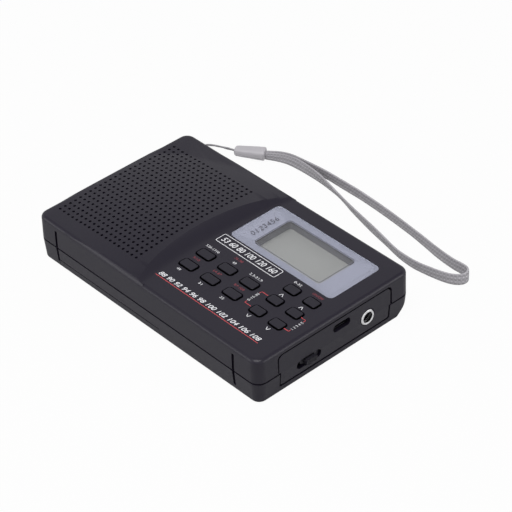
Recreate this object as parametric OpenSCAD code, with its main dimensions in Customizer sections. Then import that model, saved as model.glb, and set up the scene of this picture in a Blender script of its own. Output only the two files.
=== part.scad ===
// Pocket shortwave receiver with a crowned speaker grille, a display, twelve keys,
// a telescopic whip, a flat battery pack and a wrist strap. Sizes are millimetres.
// X runs along the front panel to the socket end, Y to the whip side, Z out of the front panel.

/* [Case] */
// Length of the case along X
case_w = 120; // [118:0.5:130]
// Depth of the case along Y
case_d = 74; // [73:0.5:80]
// Height of the front panel above the back
panel_z = 19.2; // [19:0.1:22]
// Height of the joint between the two shells
seam_z = 9; // [8.9:0.05:9.4]
// Radius of the case corners seen from the front
corner_r = 4; // [4:0.25:7]
// Thickness of the side walls
wall = 1.8; // [1.5:0.05:2]
// Thickness of the front panel
panel_t = 2; // [1.8:0.05:2.2]
// Thickness of the back
floor_t = 1.8; // [1.5:0.05:2]
// Radius along the front panel's edge
top_round = 1.5; // [1:0.1:2]
// Radius along the back's edge
foot_round = 1; // [0.6:0.1:1.2]
// How far the rear shell draws in towards the back
rear_taper = 0.65; // [0.3:0.05:0.8]
// How far the front shell draws in towards the panel
front_taper = 0.1; // [0.05:0.05:0.2]
// Step of the lip where the shells meet
lip_t = 0.9; // [0.7:0.05:1]
// Height of that lip
lip_h = 1.2; // [0.8:0.1:1.6]
// Gap between the front shell's rim and the rear shell
seam_gap = 0.25; // [0.2:0.05:0.5]
// How far below the joint the rear shell's outer face ends, which leaves a dark line between the shells
seam_low = 0.4; // [0.2:0.05:0.5]
// Depth of that line
seam_deep = 0.5; // [0.3:0.05:0.7]
// Width of the two upright grooves in the near side
groove_w = 1.2; // [0.8:0.1:1.4]
// Depth of those grooves
groove_t = 1.1; // [0.6:0.1:1.2]
// Distance of the left groove from the speaker end
groove_left = 10.75; // [10:0.05:11.5]
// Distance of the right groove from the socket end
groove_right = 12.6; // [12:0.05:13.4]

// Width of the slanted edge between the whip side and the back
slant_d = 6.7; // [6.2:0.1:7]

/* [Speaker] */
// Rise of the crowned speaker field above the panel
dome_h = 2.95; // [2:0.05:4]
// Radius of the crown along X
dome_r_long = 540; // [500:10:700]
// Radius of the crown along Y
dome_r_cross = 260; // [240:5:320]
// Radius of the hollow ramp from the crown to the panel
cove_r = 8.9; // [7:0.1:12]
// Radius of that ramp seen from the front
cove_plan_r = 193; // [150:1:260]
// Distance of the ramp's foot from the speaker end
cove_from_end = 57; // [56:0.2:57.5]
// Holes in a row of the grille
grille_cols = 19; // [15:1:19]
// Rows of holes in the grille
grille_rows = 24; // [18:2:24]
// Spacing of the grille holes
grille_pitch = 2.42; // [2.1:0.02:2.44]
// Diameter of the grille holes
grille_hole_d = 1.1; // [0.8:0.05:1.3]
// Distance of the grille's centre from the speaker end
grille_from_end = 25.85; // [25:0.1:26.5]
// Offset of the grille's centre towards the whip side
grille_y = -1.24; // [-2:0.02:0]
// Diameter of the loudspeaker
speaker_d = 40; // [36:0.5:41]
// Depth of the loudspeaker
speaker_h = 8; // [7:0.1:8.2]
// Diameter of the loudspeaker's magnet
magnet_d = 18.8; // [15:0.2:19]

/* [Display] */
// Length of the display lens
lens_w = 52.8; // [50:0.2:53]
// Depth of the display lens
lens_d = 24.8; // [22:0.2:25]
// Thickness of the display lens
lens_t = 1; // [0.8:0.05:1.1]
// Corner radius of the display lens
lens_r = 2; // [1:0.1:3]
// Distance of the lens's centre from the socket end
lens_from_end = 34.25; // [34:0.05:35]
// Offset of the lens's centre towards the whip side
lens_y = 17.45; // [17:0.05:18]
// Thickness of the printed mask under the lens
mask_t = 0.15; // [0.1:0.01:0.2]
// Length of the window in the mask
window_w = 34.2; // [30:0.2:35]
// Depth of the window in the mask
window_d = 18.3; // [16:0.1:18.6]
// Corner radius of the window
window_r = 1.5; // [0.8:0.1:2]
// Thickness of the liquid crystal panel
lcd_t = 1.6; // [1.2:0.1:1.8]

/* [Keys] */
// Length of the six wide keys
key_long = 6.8; // [6:0.1:7.2]
// Length of the six narrow keys
key_short = 5.6; // [5:0.1:6]
// Depth of a key
key_d = 3.8; // [3.4:0.1:4.2]
// Corner radius of a key
key_r = 0.9; // [0.5:0.05:1.2]
// Gap round a key
key_gap = 0.58; // [0.3:0.01:0.62]
// Height of a key above the panel
key_proud = 0.4; // [0.3:0.05:0.6]
// Travel of a key
key_travel = 0.4; // [0.2:0.05:0.5]
// Spacing of the wide keys along X
key_long_pitch = 11.55; // [11:0.05:11.8]
// Spacing of the narrow keys along X
key_short_pitch = 9.9; // [9.5:0.05:10]
// Spacing of the key rows
key_row_pitch = 8.2; // [7.8:0.05:8.3]
// Distance of the first wide key from the socket end
key_long_from_end = 57.25; // [57:0.05:57.4]
// Distance of the last narrow key from the socket end
key_short_from_end = 11; // [10.8:0.05:11.5]
// Row of the topmost keys along Y
key_top_y = -0.95; // [-1.4:0.05:-0.8]

/* [Circuit board] */
// Thickness of the circuit board
board_t = 1.6; // [1.2:0.1:1.6]
// Height of the board's underside above the shells' joint
board_over_seam = 1.4; // [1.3:0.05:1.5]
// Side of a key switch
tact_w = 6; // [5:0.1:6.2]
// Height of a key switch
tact_h = 3.5; // [3:0.05:3.6]
// Diameter of a key's stem, which runs in its switch
stem_d = 3; // [2.4:0.1:3.4]

/* [Socket end] */
// Length of the end plate along Y
end_w = 53.8; // [52:0.2:55]
// Height of the end plate's lower edge
end_low_z = 3.2; // [3.1:0.05:3.6]
// Gap between the end plate's upper edge and the panel
end_drop = 2.65; // [2.4:0.05:2.8]
// How far the end plate sits back from the case
end_recess = 0.15; // [0.1:0.05:0.3]
// Gap round the end plate
end_gap = 0.6; // [0.3:0.05:0.7]
// How far the rear shell's opening stands in from the front shell's on each side
end_step = 0.8; // [0.5:0.05:1]
// Length of the slide switch's slot
slot_w = 11.6; // [10.5:0.1:12]
// Height of the slide switch's slot
slot_h = 4; // [3.8:0.1:4.2]
// Place of that slot along Y
slot_y = -12.8; // [-14:0.1:-12]
// Height of that slot's middle
slot_z = 7.15; // [7:0.05:7.3]
// Travel of the slide switch
switch_travel = 2.2; // [1.5:0.1:2.6]
// Length of the charging socket's shell
usb_w = 7.5; // [7:0.1:7.6]
// Height of the charging socket's shell
usb_h = 2.7; // [2.4:0.05:2.8]
// Place of the charging socket along Y
usb_y = 3; // [2:0.1:4]
// Bore of the headphone socket
jack_bore_d = 3.6; // [3.5:0.02:3.7]
// Outer diameter of the headphone socket's ring
jack_ring_d = 6.2; // [5.8:0.1:6.6]
// Gap round the headphone socket's ring
jack_gap = 0.3; // [0.1:0.05:0.4]
// Place of the headphone socket along Y
jack_y = 15.5; // [15:0.1:16]
// Height of the headphone socket's axis
jack_z = 9.6; // [9.4:0.05:9.8]

/* [Whip] */
// Diameter of the outermost tube of the whip
whip_d = 5; // [4.8:0.05:5.2]
// Step in diameter from one tube to the next
whip_step = 0.8; // [0.7:0.02:0.85]
// Length of the outermost tube
whip_l = 88; // [80:0.5:90]
// How far each section draws out
whip_draw = 68; // [50:1:70]
// Distance of the pivot from the socket end
pivot_from_end = 11; // [10.5:0.1:12]
// Diameter of the pivot pin
pivot_d = 2; // [1.6:0.05:2.2]
// Depth of the whip's axis inside the whip side
whip_inset = 3.4; // [3.2:0.05:3.6]
// Height of the whip's axis
whip_z = 4.7; // [4.6:0.05:4.8]
// Lean of the pivot in degrees, which lifts the whip as it swings out
whip_lean = 11; // [10:0.5:12]

/* [Battery] */
// Length of the battery pack
pack_w = 53; // [50:0.2:53.4]
// Depth of the battery pack
pack_d = 34; // [32:0.2:34.2]
// Thickness of the battery pack
pack_t = 5.6; // [5:0.05:5.7]
// Height at which the battery door's lip ends
door_lip_z = 3.15; // [2.6:0.05:3.4]
// Gap that shows over that lip
door_lip_gap = 0.35; // [0.2:0.05:0.4]
// Thickness of the battery door
door_t = 1.6; // [1.4:0.05:1.7]

/* [Strap] */
// Width of the woven strap
band_w = 5; // [4:0.1:5.4]
// Thickness of the woven strap
band_t = 0.9; // [0.7:0.05:1]
// Diameter of the thin string
string_d = 0.6; // [0.5:0.05:0.8]
// Length of the ferrule
ferrule_l = 12.8; // [10:0.1:12.8]
// Width of the ferrule's wide end
ferrule_w = 5.6; // [5:0.1:6]
// Height of the ferrule's wide end
ferrule_h = 4.4; // [4:0.1:4.6]
// Diameter of the bar that the string loops round
anchor_d = 1.8; // [1.4:0.1:1.9]

/* [Fits] */
// Clearance between pieces that are put together by hand
fit = 0.15; // [0.1:0.01:0.2]
// Clearance round a turning or sliding shaft
run = 0.05; // [0.03:0.01:0.08]

/* [Hidden] */
$fn = 48;

// Cuts run this far past the faces that they open
over = 1;
// Steps in a rounded edge and in a rounded corner
edge_steps = 5;
corner_steps = 6;

half_w = case_w/2;
half_d = case_d/2;
roof_z = panel_z - panel_t;
inner_w = case_w - 2*wall;
inner_d = case_d - 2*wall;
inner_r = corner_r - wall;
groove_drop = 2.7;
groove_low_z = 2.4;
slant_drop = 1.8;
slant_h = seam_z - slant_drop;

// Speaker field
grille_x = -half_w + grille_from_end;
dome_from_end = 51.5;
dome_x = -half_w + dome_from_end;
dome_y = -1;
dome_axis_z = panel_z + dome_h - dome_r_long;
dome_edge_rise = 0.85;
dome_edge_r = 2.3;
dome_edge_inset = 0.15;
dome_l = 62;
dome_end_x = -half_w + dome_l;
dome_depth = 1.4;
dome_hollow_l = 45.5;
dome_hollow_x = -half_w + dome_hollow_l;
cove_x = -half_w + cove_from_end + cove_plan_r;
cove_y = -4;
cove_sweep = 13;
cove_reach = 40;
ring_t = 1.5;
ring_seat = 1.5;
speaker_rim_h = 1.8;
speaker_rim_w = 2.6;
speaker_r = speaker_d/2;
ring_r = speaker_r + fit + ring_t;

// Circuit board
board_z = seam_z + board_over_seam;
board_top = board_z + board_t;
board_past = 9.75;
board_in = 4;
board_near = 9;
board_far = 6.5;
board_x1 = half_w - board_in;
board_y0 = -half_d + board_near;
board_y1 = half_d - board_far;
tact_top = board_top + tact_h;
stem_depth = 1;
notch_in = 12.2;
notch_far = 15.8;

// Display
lens_x = half_w - lens_from_end;
lens_drop = 0.1;
lens_z = panel_z - lens_drop - lens_t;
mask_z = lens_z - mask_t;
holder_wall = 1;
holder_w = lens_w - 10.8;
holder_d = lens_d - 0.7;
sight_w = window_w + 1;
sight_d = window_d + 1;
strip_h = 0.5;
lcd_z = board_top + strip_h;
lip_z = lcd_z + lcd_t + 0.1;
board_x0 = lens_x - holder_w/2 - board_past;

// Keys: place, length and name order follow the rows from left to right
key_x = half_w - key_long_from_end;
key_end_x = half_w - key_short_from_end;
key_row = [for (i = [0:2]) key_top_y - i*key_row_pitch];
key_flange = 0.9;
key_flange_t = 0.9;
key_float = 0.1;
key_round = 0.3;
KEYS = concat(
    [for (j = [1:2], i = [0:2]) [key_x + i*key_long_pitch, key_row[j], key_long]],
    [for (j = [1, 0], i = [0:2]) [key_end_x - j*key_short_pitch, key_row[i], key_short]]);

// Socket end
end_top_z = panel_z - end_drop;
end_h = end_top_z - end_low_z;
end_mid_z = (end_top_z + end_low_z)/2;
end_face_x = half_w - end_recess;
end_flange = 2;
end_flange_t = 1;
end_back_x = half_w - wall - end_flange_t;
end_r = 2;
slider_w = slot_w - switch_travel - 2*fit;
slider_h = slot_h - 0.5;
slider_rest_y = slot_y + switch_travel/2;
slider_sink = 1.25;
knob_w = 4.8;
knob_h = 2.4;
knob_shift = -0.4;
knob_drop = 0.4;
knob_proud = 0.85;
rib_count = 8;
rib_t = 0.28;
lever_w = 2;
lever_h = 1.8;
lever_in = 3;
switch_l = 6.4;
switch_w = 9.5;
switch_low_z = slot_z - 2.1;
usb_z = board_top + usb_h/2;
usb_l = 5.6;
usb_t = 0.3;
usb_mouth = 1.65;
jack_clear = 0.55;
jack_back_x = lens_x + holder_w/2 + jack_clear;
jack_side = 6;
jack_proud = 0.35;
jack_mouth_r = 2.2;
jack_nose_in = 1.4;
jack_tab_in = 1;
jack_tab_l = 4;
jack_tab_w = 1.6;
jack_tab_t = 0.5;

// Whip
whip_y = half_d - whip_inset;
pivot_x = half_w - pivot_from_end;
trough_r = whip_d/2 + 0.6;
knuckle_r = 2.6;
knuckle_h = 3.8;
knuckle_l = 5;
knuckle_plug_l = 3;
neck_r = 1.8;
whip_x = pivot_x - knuckle_l;
whip_stub = 1;
whip_wall = whip_step/2 - run;
bracket_w = 8;
bracket_t = 1;
bracket_web = 0.8;
bracket_low_z = whip_z - trough_r;
bracket_h = 2*trough_r - run;
bracket_back_y = whip_y - trough_r - 0.5;
pocket_w = bracket_w + 3;
tip_l = 5;

// Battery
bay_in = 12.4;
bay_x0 = -half_w + bay_in;
bay_x1 = bay_x0 + pack_w + 1;
bay_y0 = -half_d + 3;
bay_y1 = bay_y0 + pack_d + 0.4;
bay_z = door_t + fit + pack_t;
bay_wall = 1.4;
bay_roof = 1;
bay_far_y = bay_y1 + 4.8;
door_x0 = bay_x0 - bay_wall;
door_x1 = bay_x1 + 0.9;
door_y1 = bay_y1 + 1.1;
door_lip_t = 1.7;
door_tongue = 2.2;
door_tongue_z = 0.85;
contact_count = 3;
contact_pitch = 4;
contact_w = 2;

// Chips on the board's underside, beside the battery bay: place, length, depth and height of each
chip_gap = 2.2;
chip_x = bay_x1 + bay_wall + chip_gap;
chip_t = 1.5;
CHIPS = [[6, 17, 8.2, 5.3, chip_t], [20, 4, 5, 4, chip_t], [0, 4, 3, 8, 2.4]];
can_in = 17;
can_up = 32;
can_r = 2;
can_h = 5;

// Screws: the four that close the case and the three that hold the board
post_r = 2.6;
board_post_r = 2.2;
screw_left = 7.5;
screw_right_near = 15;
screw_right_far = 8.5;
screw_near = 4.2;
screw_far = 12;
board_screw_in = 27.5;
board_screw_edge = 2.5;
board_screw_drop = 3.5;
board_screw_gap = 2.05;
board_screw_x = lens_x - holder_w/2 - board_screw_gap;
CASE_SCREWS = [[-half_w + screw_left, -half_d + screw_near],
    [half_w - screw_right_near, -half_d + screw_near],
    [-half_w + screw_left, half_d - screw_far], [half_w - screw_right_far, half_d - screw_far]];
BOARD_SCREWS = [[half_w - board_screw_in, key_row[1] - key_row_pitch/2],
    [board_screw_x - board_post_r + board_screw_drop, board_y0 + board_screw_edge],
    [board_screw_x - board_post_r, lens_y - board_screw_drop]];
screw_r = 0.8;
pilot_r = screw_r + run;
screw_pass_r = 1.2;
head_r = 2;
head_h = 1.6;
head_z = 3;
head_pit_r = head_r + 0.2;
screw_tip_z = roof_z - 2.5;
board_head_r = 1.8;
board_head_h = 1.2;

// Ferrite rod
rod_r = 3.2;
coil_r = 4.1;
rod_l = 50;
coil_l = 18;
rod_in = 18;
rod_far = 15;
rod_rise = 4.2;
rod_x0 = half_w - rod_in - rod_l;
rod_y = half_d - rod_far;
rod_z = floor_t + rod_rise;
saddle_t = 2;
saddle_w = 8;

// Strap: the pocket with its bar, and the routes as they lie behind the case
anchor_x = -half_w + 8.5;
anchor_y = half_d - 1.8;
anchor_mid_z = 13.2;
anchor_w = 7;
anchor_h = 5.6;
anchor_deep = 4;
anchor_wall = 1.2;
ferrule_from = [-55.4, 56.1, 2.95];
ferrule_turn = 34;
band_gather = 0.64;
ferrule_nose = 0.74;
ferrule_round = 1.5;
ferrule_end = 0.9;
STRING_ROUTE = [[-55.6, 56, 3.3], [-56.6, 55.4, 3.5], [-57.4, 54.6, 3.9], [-57.6, 53.2, 4.8],
    [-57.5, 51.7, 5.8], [-57.6, 50, 7], [-57.6, 48.3, 8.2], [-57.6, 46.7, 9.2], [-57.4, 45.1, 10.2],
    [-56.9, 43.6, 11.2], [-56.1, 42.2, 12], [-55, 40.6, 12.6], [-53.8, 39.2, 13], [-53.1, 37.4, 13.2],
    [-52.9, 35.2, 13.2], [-52.5, 34.2, 13.1], [-51.5, 33.8, 13], [-50.5, 34.2, 12.9], [-50.1, 35.2, 12.8],
    [-50.4, 37.2, 12.6], [-51.6, 39, 12.3], [-53.4, 40.6, 12], [-55.2, 42, 11.6], [-56.6, 43.3, 10.9],
    [-57.6, 44.9, 9.9], [-58.1, 46.7, 8.7], [-58.2, 48.7, 7.5], [-58.1, 50.6, 6.2], [-58, 52.4, 5],
    [-57.9, 53.9, 3.8], [-57.6, 55.1, 3], [-56.9, 56, 2.6], [-56, 56.5, 2.5]];
// Each point holds X, Y and how far the strap leans from upright, in degrees
BAND_ROUTE = [[-44.4, 62.7, 0], [-40.5, 65.2, 0], [-36.6, 67, 0], [-31.4, 67.9, 0], [-24.5, 67.9, -4],
    [-18, 67.4, -12], [-12.5, 66.5, -20], [-7, 65.4, -27], [-2, 64.1, -26], [2.5, 62.8, -22],
    [9.5, 61.1, -18], [18, 59.2, -14], [27, 57.3, -16], [32, 56.1, -17], [37, 55.2, -16], [43, 54.9, -13],
    [47.5, 55.3, -12], [51.5, 56, -9], [55.5, 56.9, -6], [59, 58.1, -4], [61.6, 59.8, -2], [62.9, 62, 0],
    [62.5, 64.2, 0], [60.6, 65.5, 0], [57.5, 65.6, 0], [55, 65.4, 1], [50, 65.6, 2], [44.5, 66.2, 3],
    [37, 67.4, 7], [30, 68.4, 10], [23, 69.2, 10], [16, 69.9, 10], [8, 70.5, 10], [0, 70.9, 10],
    [-7, 70.9, 10], [-12.5, 70.9, 11], [-17, 70.9, 12], [-21.5, 70.6, 12], [-28, 69.9, 11], [-34, 69, 8],
    [-37.5, 68.2, 5], [-41, 66.6, 2], [-45, 63.7, 0]];
string_sides = 8;
BAND_SHAPE = [[-0.5, -0.35], [-0.4, -0.5], [0.4, -0.5], [0.5, -0.35], [0.5, 0.35], [0.4, 0.5], [-0.4, 0.5],
    [-0.5, 0.35]];
band_floor = 0.05;

// Shapes that several pieces share

// Corner points of a rounded rectangle
function round_rect(w, h, r) = [for (k = [0:3], i = [0:corner_steps])
    let (a = 90*(k + i/corner_steps), sx = (k == 0 || k == 3) ? 1 : -1, sy = k < 2 ? 1 : -1)
    [sx*(w/2 - r) + r*cos(a), sy*(h/2 - r) + r*sin(a)]];

// Profile points [inset, height] of an edge rounded towards the top
function top_edge(inset, z, r) = [for (i = [0:edge_steps]) let (a = 90*i/edge_steps)
    [inset + r - r*cos(a), z - r + r*sin(a)]];

// Profile points [inset, height] of an edge rounded towards the bottom
function foot_edge(inset, z, r) = [for (i = [0:edge_steps]) let (a = 90*(i/edge_steps - 1))
    [inset + r - r*cos(a), z + r + r*sin(a)]];

module side_profile(r, profile) {
    last = profile[len(profile) - 1];
    polygon(concat([[0, profile[0][1]]], [for (p = profile) [r - p[0], p[1]]], [[0, last[1]]]));
}

// Block with round plan corners whose side follows the profile points
module swept_block(w, d, r, profile) {
    low = profile[0][1];
    high = profile[len(profile) - 1][1];
    core = [w - 2*r, d - 2*r];
    translate([-core.x/2, -core.y/2, low]) cube([core.x, core.y, high - low]);
    for (k = [0:3]) {
        out = k % 2 == 0 ? core.x : core.y;
        along = k % 2 == 0 ? core.y : core.x;
        rotate(90*k) translate([out/2, 0, 0]) {
            rotate([90, 0, 0]) linear_extrude(along, center = true) side_profile(r, profile);
            translate([0, along/2, 0]) rotate_extrude(angle = 90) side_profile(r, profile);
        }
    }
}

module box(x0, x1, y0, y1, z0, z1) {
    translate([x0, y0, z0]) cube([x1 - x0, y1 - y0, z1 - z0]);
}

module plate(w, d, r, z0, z1) {
    translate([0, 0, z0]) linear_extrude(z1 - z0) polygon(round_rect(w, d, r));
}

// Plate that stands square to X, from x0 to x1, at a place along Y and Z
module end_block(w, h, r, y, z, x0, x1) {
    translate([x0, y, z]) rotate([90, 0, 90]) linear_extrude(x1 - x0) polygon(round_rect(w, h, r));
}

module rod_x(r, x0, x1, y, z) {
    translate([x0, y, z]) rotate([0, 90, 0]) cylinder(r = r, h = x1 - x0);
}

module pillar(p, r, z0, z1) {
    translate([p[0], p[1], z0]) cylinder(r = r, h = z1 - z0);
}

// Crowned speaker field

function dome_rho(y) = dome_r_long - dome_r_cross + sqrt(pow(dome_r_cross, 2) - pow(y - dome_y, 2));
function dome_top(x, y) = dome_axis_z + sqrt(pow(dome_rho(y), 2) - pow(x - dome_x, 2));

// Solid under the crown's surface, lowered by drop; its strips lie between the rows of holes
module dome_solid(drop, depth) {
    n = ceil((half_d + abs(grille_y))/grille_pitch);
    ys = [for (k = [-n:n]) grille_y + k*grille_pitch];
    near = asin((half_w + dome_x + over)/dome_r_long);
    far = asin((dome_end_x - dome_x)/dome_r_long);
    inner = dome_r_long - dome_h - depth;
    translate([dome_x, 0, dome_axis_z]) rotate([-90, 0, 0]) rotate(-90 - near)
        rotate_extrude(angle = near + far, $fn = 360)
            polygon(concat([for (y = ys) [dome_rho(y) - drop, y]], [[inner, ys[2*n]], [inner, ys[0]]]));
}

module cove_cut() {
    ramp = [for (a = [0:8:56]) [cove_plan_r + cove_r*sin(a), panel_z + cove_r*(1 - cos(a))]];
    rim = ramp[len(ramp) - 1];
    translate([cove_x, cove_y, 0]) rotate(180 - cove_sweep) rotate_extrude(angle = 2*cove_sweep, $fn = 360)
        polygon(concat([[cove_plan_r - cove_reach, panel_z - 3], [cove_plan_r, panel_z - 3]], ramp,
            [[rim[0], panel_z + 3*dome_h], [cove_plan_r - cove_reach, panel_z + 3*dome_h]]));
}

module dome() {
    difference() {
        intersection() {
            dome_solid(0, dome_depth);
            swept_block(case_w, case_d, corner_r, concat([[dome_edge_inset, seam_z + over]],
                top_edge(dome_edge_inset, panel_z + dome_edge_rise, dome_edge_r),
                [[dome_edge_inset + dome_edge_r + run, panel_z + 2*dome_h]]));
        }
        cove_cut();
    }
}

// Holes over the speaker's seat or a screw post stop inside the panel; all the others go through
module grille() {
    for (i = [0:grille_cols - 1], j = [0:grille_rows - 1]) {
        x = grille_x + (i - (grille_cols - 1)/2)*grille_pitch;
        y = grille_y + (j - (grille_rows - 1)/2)*grille_pitch;
        rim = norm([x - grille_x, y - grille_y]);
        seat = rim > speaker_r - ring_seat - grille_hole_d && rim < ring_r + grille_hole_d;
        post = min([for (p = CASE_SCREWS) norm([x - p[0], y - p[1]])]) < post_r + grille_hole_d;
        deep = seat || post ? 0.7*panel_t : 2*panel_t;
        top = max(dome_top(x, y), panel_z);
        translate([x, y, top - deep]) cylinder(d = grille_hole_d, h = deep + over, $fn = 16);
    }
}

module speaker_seat() {
    translate([grille_x, grille_y, 0]) difference() {
        translate([0, 0, roof_z - speaker_rim_h]) cylinder(r = ring_r, h = panel_t + 3*dome_h);
        translate([0, 0, roof_z - speaker_rim_h - over])
            cylinder(r = speaker_r + fit, h = speaker_rim_h + over);
        cylinder(r = speaker_r - ring_seat, h = panel_z + 3*dome_h);
    }
}

// Case

module front_outer() {
    swept_block(case_w, case_d, corner_r,
        concat([[0, seam_z + seam_gap]], top_edge(front_taper, panel_z, top_round)));
    dome();
}

module front_hollow() {
    difference() {
        union() {
            swept_block(inner_w, inner_d, inner_r, [[0, seam_z - over], [0, roof_z]]);
            intersection() {
                dome_solid(panel_t, dome_depth + 2*dome_h);
                swept_block(inner_w - 1, inner_d - 1, inner_r, [[0, roof_z - over], [0, panel_z + dome_h]]);
                box(-half_w, dome_hollow_x, -half_d, half_d, roof_z - over, panel_z + dome_h);
            }
        }
        for (p = CASE_SCREWS) pillar(p, post_r, seam_z, panel_z);
        for (p = BOARD_SCREWS) pillar(p, board_post_r, board_top, panel_z);
        speaker_seat();
        box(anchor_x - anchor_w/2 - anchor_wall, anchor_x + anchor_w/2 + anchor_wall,
            half_d - anchor_deep - anchor_wall, half_d, anchor_mid_z - anchor_h/2 - anchor_wall, panel_z);
    }
}

module near_grooves(z0, z1) {
    for (x = [-half_w + groove_left, half_w - groove_right]) translate([x, 0, 0])
        box(-groove_w/2, groove_w/2, -half_d - over, -half_d + groove_t, z0, z1);
}

// The end plate's outline, grown by the gap g, between two heights; below the shells' joint it is narrower
module end_outline(g, x0, x1, z0, z1) {
    intersection() {
        end_block(end_w + 2*g, end_h + 2*g, end_r, 0, end_mid_z, x0, x1);
        union() {
            box(x0 - over, x1 + over, -half_d, half_d, seam_z, z1);
            box(x0 - over, x1 + over, end_step - end_w/2 - g, end_w/2 - end_step + g, z0, seam_z + over);
        }
    }
}

module front_case() {
    color("#38363c") {
        difference() {
            front_outer();
            front_hollow();
            grille();
            swept_ring(seam_z - over, seam_z + lip_h);
            for (k = KEYS) translate([k[0], k[1], 0])
                plate(k[2] + 2*key_gap, key_d + 2*key_gap, key_r + key_gap, roof_z - over, panel_z + over);
            translate([lens_x, lens_y, 0]) {
                plate(lens_w + 2*fit, lens_d + 2*fit, lens_r + fit, mask_z, panel_z + over);
                plate(sight_w, sight_d, window_r, roof_z - over, panel_z);
            }
            end_outline(end_gap, half_w - 2*wall, half_w + over, seam_z - over, panel_z);
            near_grooves(seam_z - over, panel_z - groove_drop);
            box(anchor_x - anchor_w/2, anchor_x + anchor_w/2, half_d - anchor_deep, half_d + over,
                anchor_mid_z - anchor_h/2, anchor_mid_z + anchor_h/2);
            for (p = CASE_SCREWS) pillar(p, pilot_r, seam_z - over, roof_z - 1);
            for (p = BOARD_SCREWS) pillar(p, pilot_r, board_top - over, roof_z - 1);
        }
        pillar([anchor_x, anchor_y], anchor_d/2, anchor_mid_z - anchor_h/2 - anchor_wall/2,
            anchor_mid_z + anchor_h/2 + anchor_wall/2);
    }
}

// Space between the shells' lips, cut from the front shell
module swept_ring(z0, z1) {
    r = corner_r - wall + lip_t;
    swept_block(case_w - 2*(wall - lip_t), case_d - 2*(wall - lip_t), r, [[0, z0], [0, z1]]);
}

function rear_profile() = concat(foot_edge(rear_taper, 0, foot_round),
    [[0, seam_z - seam_low], [seam_deep, seam_z - seam_low], [seam_deep, seam_z]]);

module rear_hollow() {
    difference() {
        swept_block(inner_w - 2*rear_taper, inner_d - 2*rear_taper, inner_r,
            [[0, floor_t], [0, seam_z + 2*lip_h]]);
        for (p = CASE_SCREWS) pillar(p, post_r, 0, seam_z + lip_h);
        box(-half_w, half_w, whip_y - trough_r - 1.6, half_d, 0, seam_z);
        box(door_x0 - bay_wall, door_x1 + bay_wall, -half_d, bay_far_y, 0, bay_z + bay_roof);
        for (x = [rod_x0 + 4, rod_x0 + rod_l - 4])
            box(x - saddle_t/2, x + saddle_t/2, rod_y - saddle_w/2, rod_y + saddle_w/2, 0, rod_z - 0.4);
    }
}

// The door's own space, grown by the clearance g, and by the gap h over its lip
module door_space(g, h) {
    box(door_x0 - g, door_x1 + g, -half_d - over, door_y1 + g, -over, door_t + g);
    box(door_x0 - g, door_x1 + g, -half_d - over, -half_d + door_lip_t + g, -over, door_lip_z + h);
}

module rear_lip() {
    difference() {
        swept_block(case_w - 2*(wall - lip_t + fit), case_d - 2*(wall - lip_t + fit),
            corner_r - wall + lip_t - fit,
            [[0, seam_z - over], [0, seam_z + lip_h - fit]]);
        swept_block(inner_w, inner_d, inner_r, [[0, seam_z - 2*over], [0, seam_z + 2*lip_h]]);
    }
}

// Turns pieces about the whip's axis, as its pivot leans
module leaned() {
    translate([0, whip_y, whip_z]) rotate([whip_lean, 0, 0]) translate([0, -whip_y, -whip_z]) children();
}

// Trough along the whip side, open to that side and at the speaker end
module whip_trough() {
    back = [for (a = [270:-15:90]) [whip_y + trough_r*cos(a), whip_z + trough_r*sin(a)]];
    leaned() translate([-half_w - over, 0, 0]) rotate([90, 0, 90]) linear_extrude(half_w + over + pivot_x)
        polygon(concat([[half_d + 2*over, whip_z - trough_r]], back, [[half_d + 2*over, whip_z + trough_r]]));
}

// Wedge that slants the edge between the whip side and the back
module slant_cut() {
    k = slant_d/slant_h;
    translate([-half_w - over, half_d, 0]) rotate([90, 0, 90]) linear_extrude(case_w + 2*over)
        polygon([[-slant_d - over*k, -over], [over, -over], [over, slant_h + over/k]]);
}

module rear_case() {
    color("#333137") difference() {
        union() {
            swept_block(case_w, case_d, corner_r, rear_profile());
            rear_lip();
            for (p = CASE_SCREWS) pillar(p, post_r, seam_z - over, seam_z + lip_h);
        }
        rear_hollow();
        door_space(fit, door_lip_gap);
        box(bay_x0, bay_x1, bay_y0, bay_y1, 0, bay_z);
        box(door_x0 + 6, door_x1 - 6, bay_y1, door_y1 + door_tongue + fit, door_tongue_z - fit, door_t + fit);
        slant_cut();
        whip_trough();
        leaned() box(pivot_x - pocket_w/2, pivot_x + pocket_w/2, bracket_back_y, half_d + 2*over,
            whip_z - trough_r, whip_z + trough_r);
        rod_x(rod_r, rod_x0 - over, rod_x0 + rod_l + over, rod_y, rod_z);
        end_outline(end_gap, half_w - 2*wall, half_w + over, 0, seam_z + 2*lip_h);
        end_flange_space();
        near_grooves(groove_low_z, seam_z + over);
        for (p = CASE_SCREWS) {
            pillar(p, screw_pass_r, -over, seam_z + lip_h + over);
            pillar(p, head_pit_r, -over, head_z + head_h);
        }
    }
}

// Room behind the rear shell's wall for the end plate's flange
module end_flange_space() {
    end_block(end_w + 2*end_flange + 2*fit, end_h - 0.8 + 2*fit, end_r, 0, end_mid_z, end_back_x - 2*over,
        end_back_x + end_flange_t);
}

// Wedge that lets the end plate's lower part slope as the rear shell's side does
module end_slope() {
    top = seam_z - seam_low;
    slope = rear_taper/(top - foot_round);
    translate([0, half_d, 0]) rotate([90, 0, 0]) linear_extrude(case_d)
        polygon([[end_face_x, top], [half_w + over, top], [half_w + over, -over],
            [end_face_x - slope*(top + over), -over]]);
}

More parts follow.
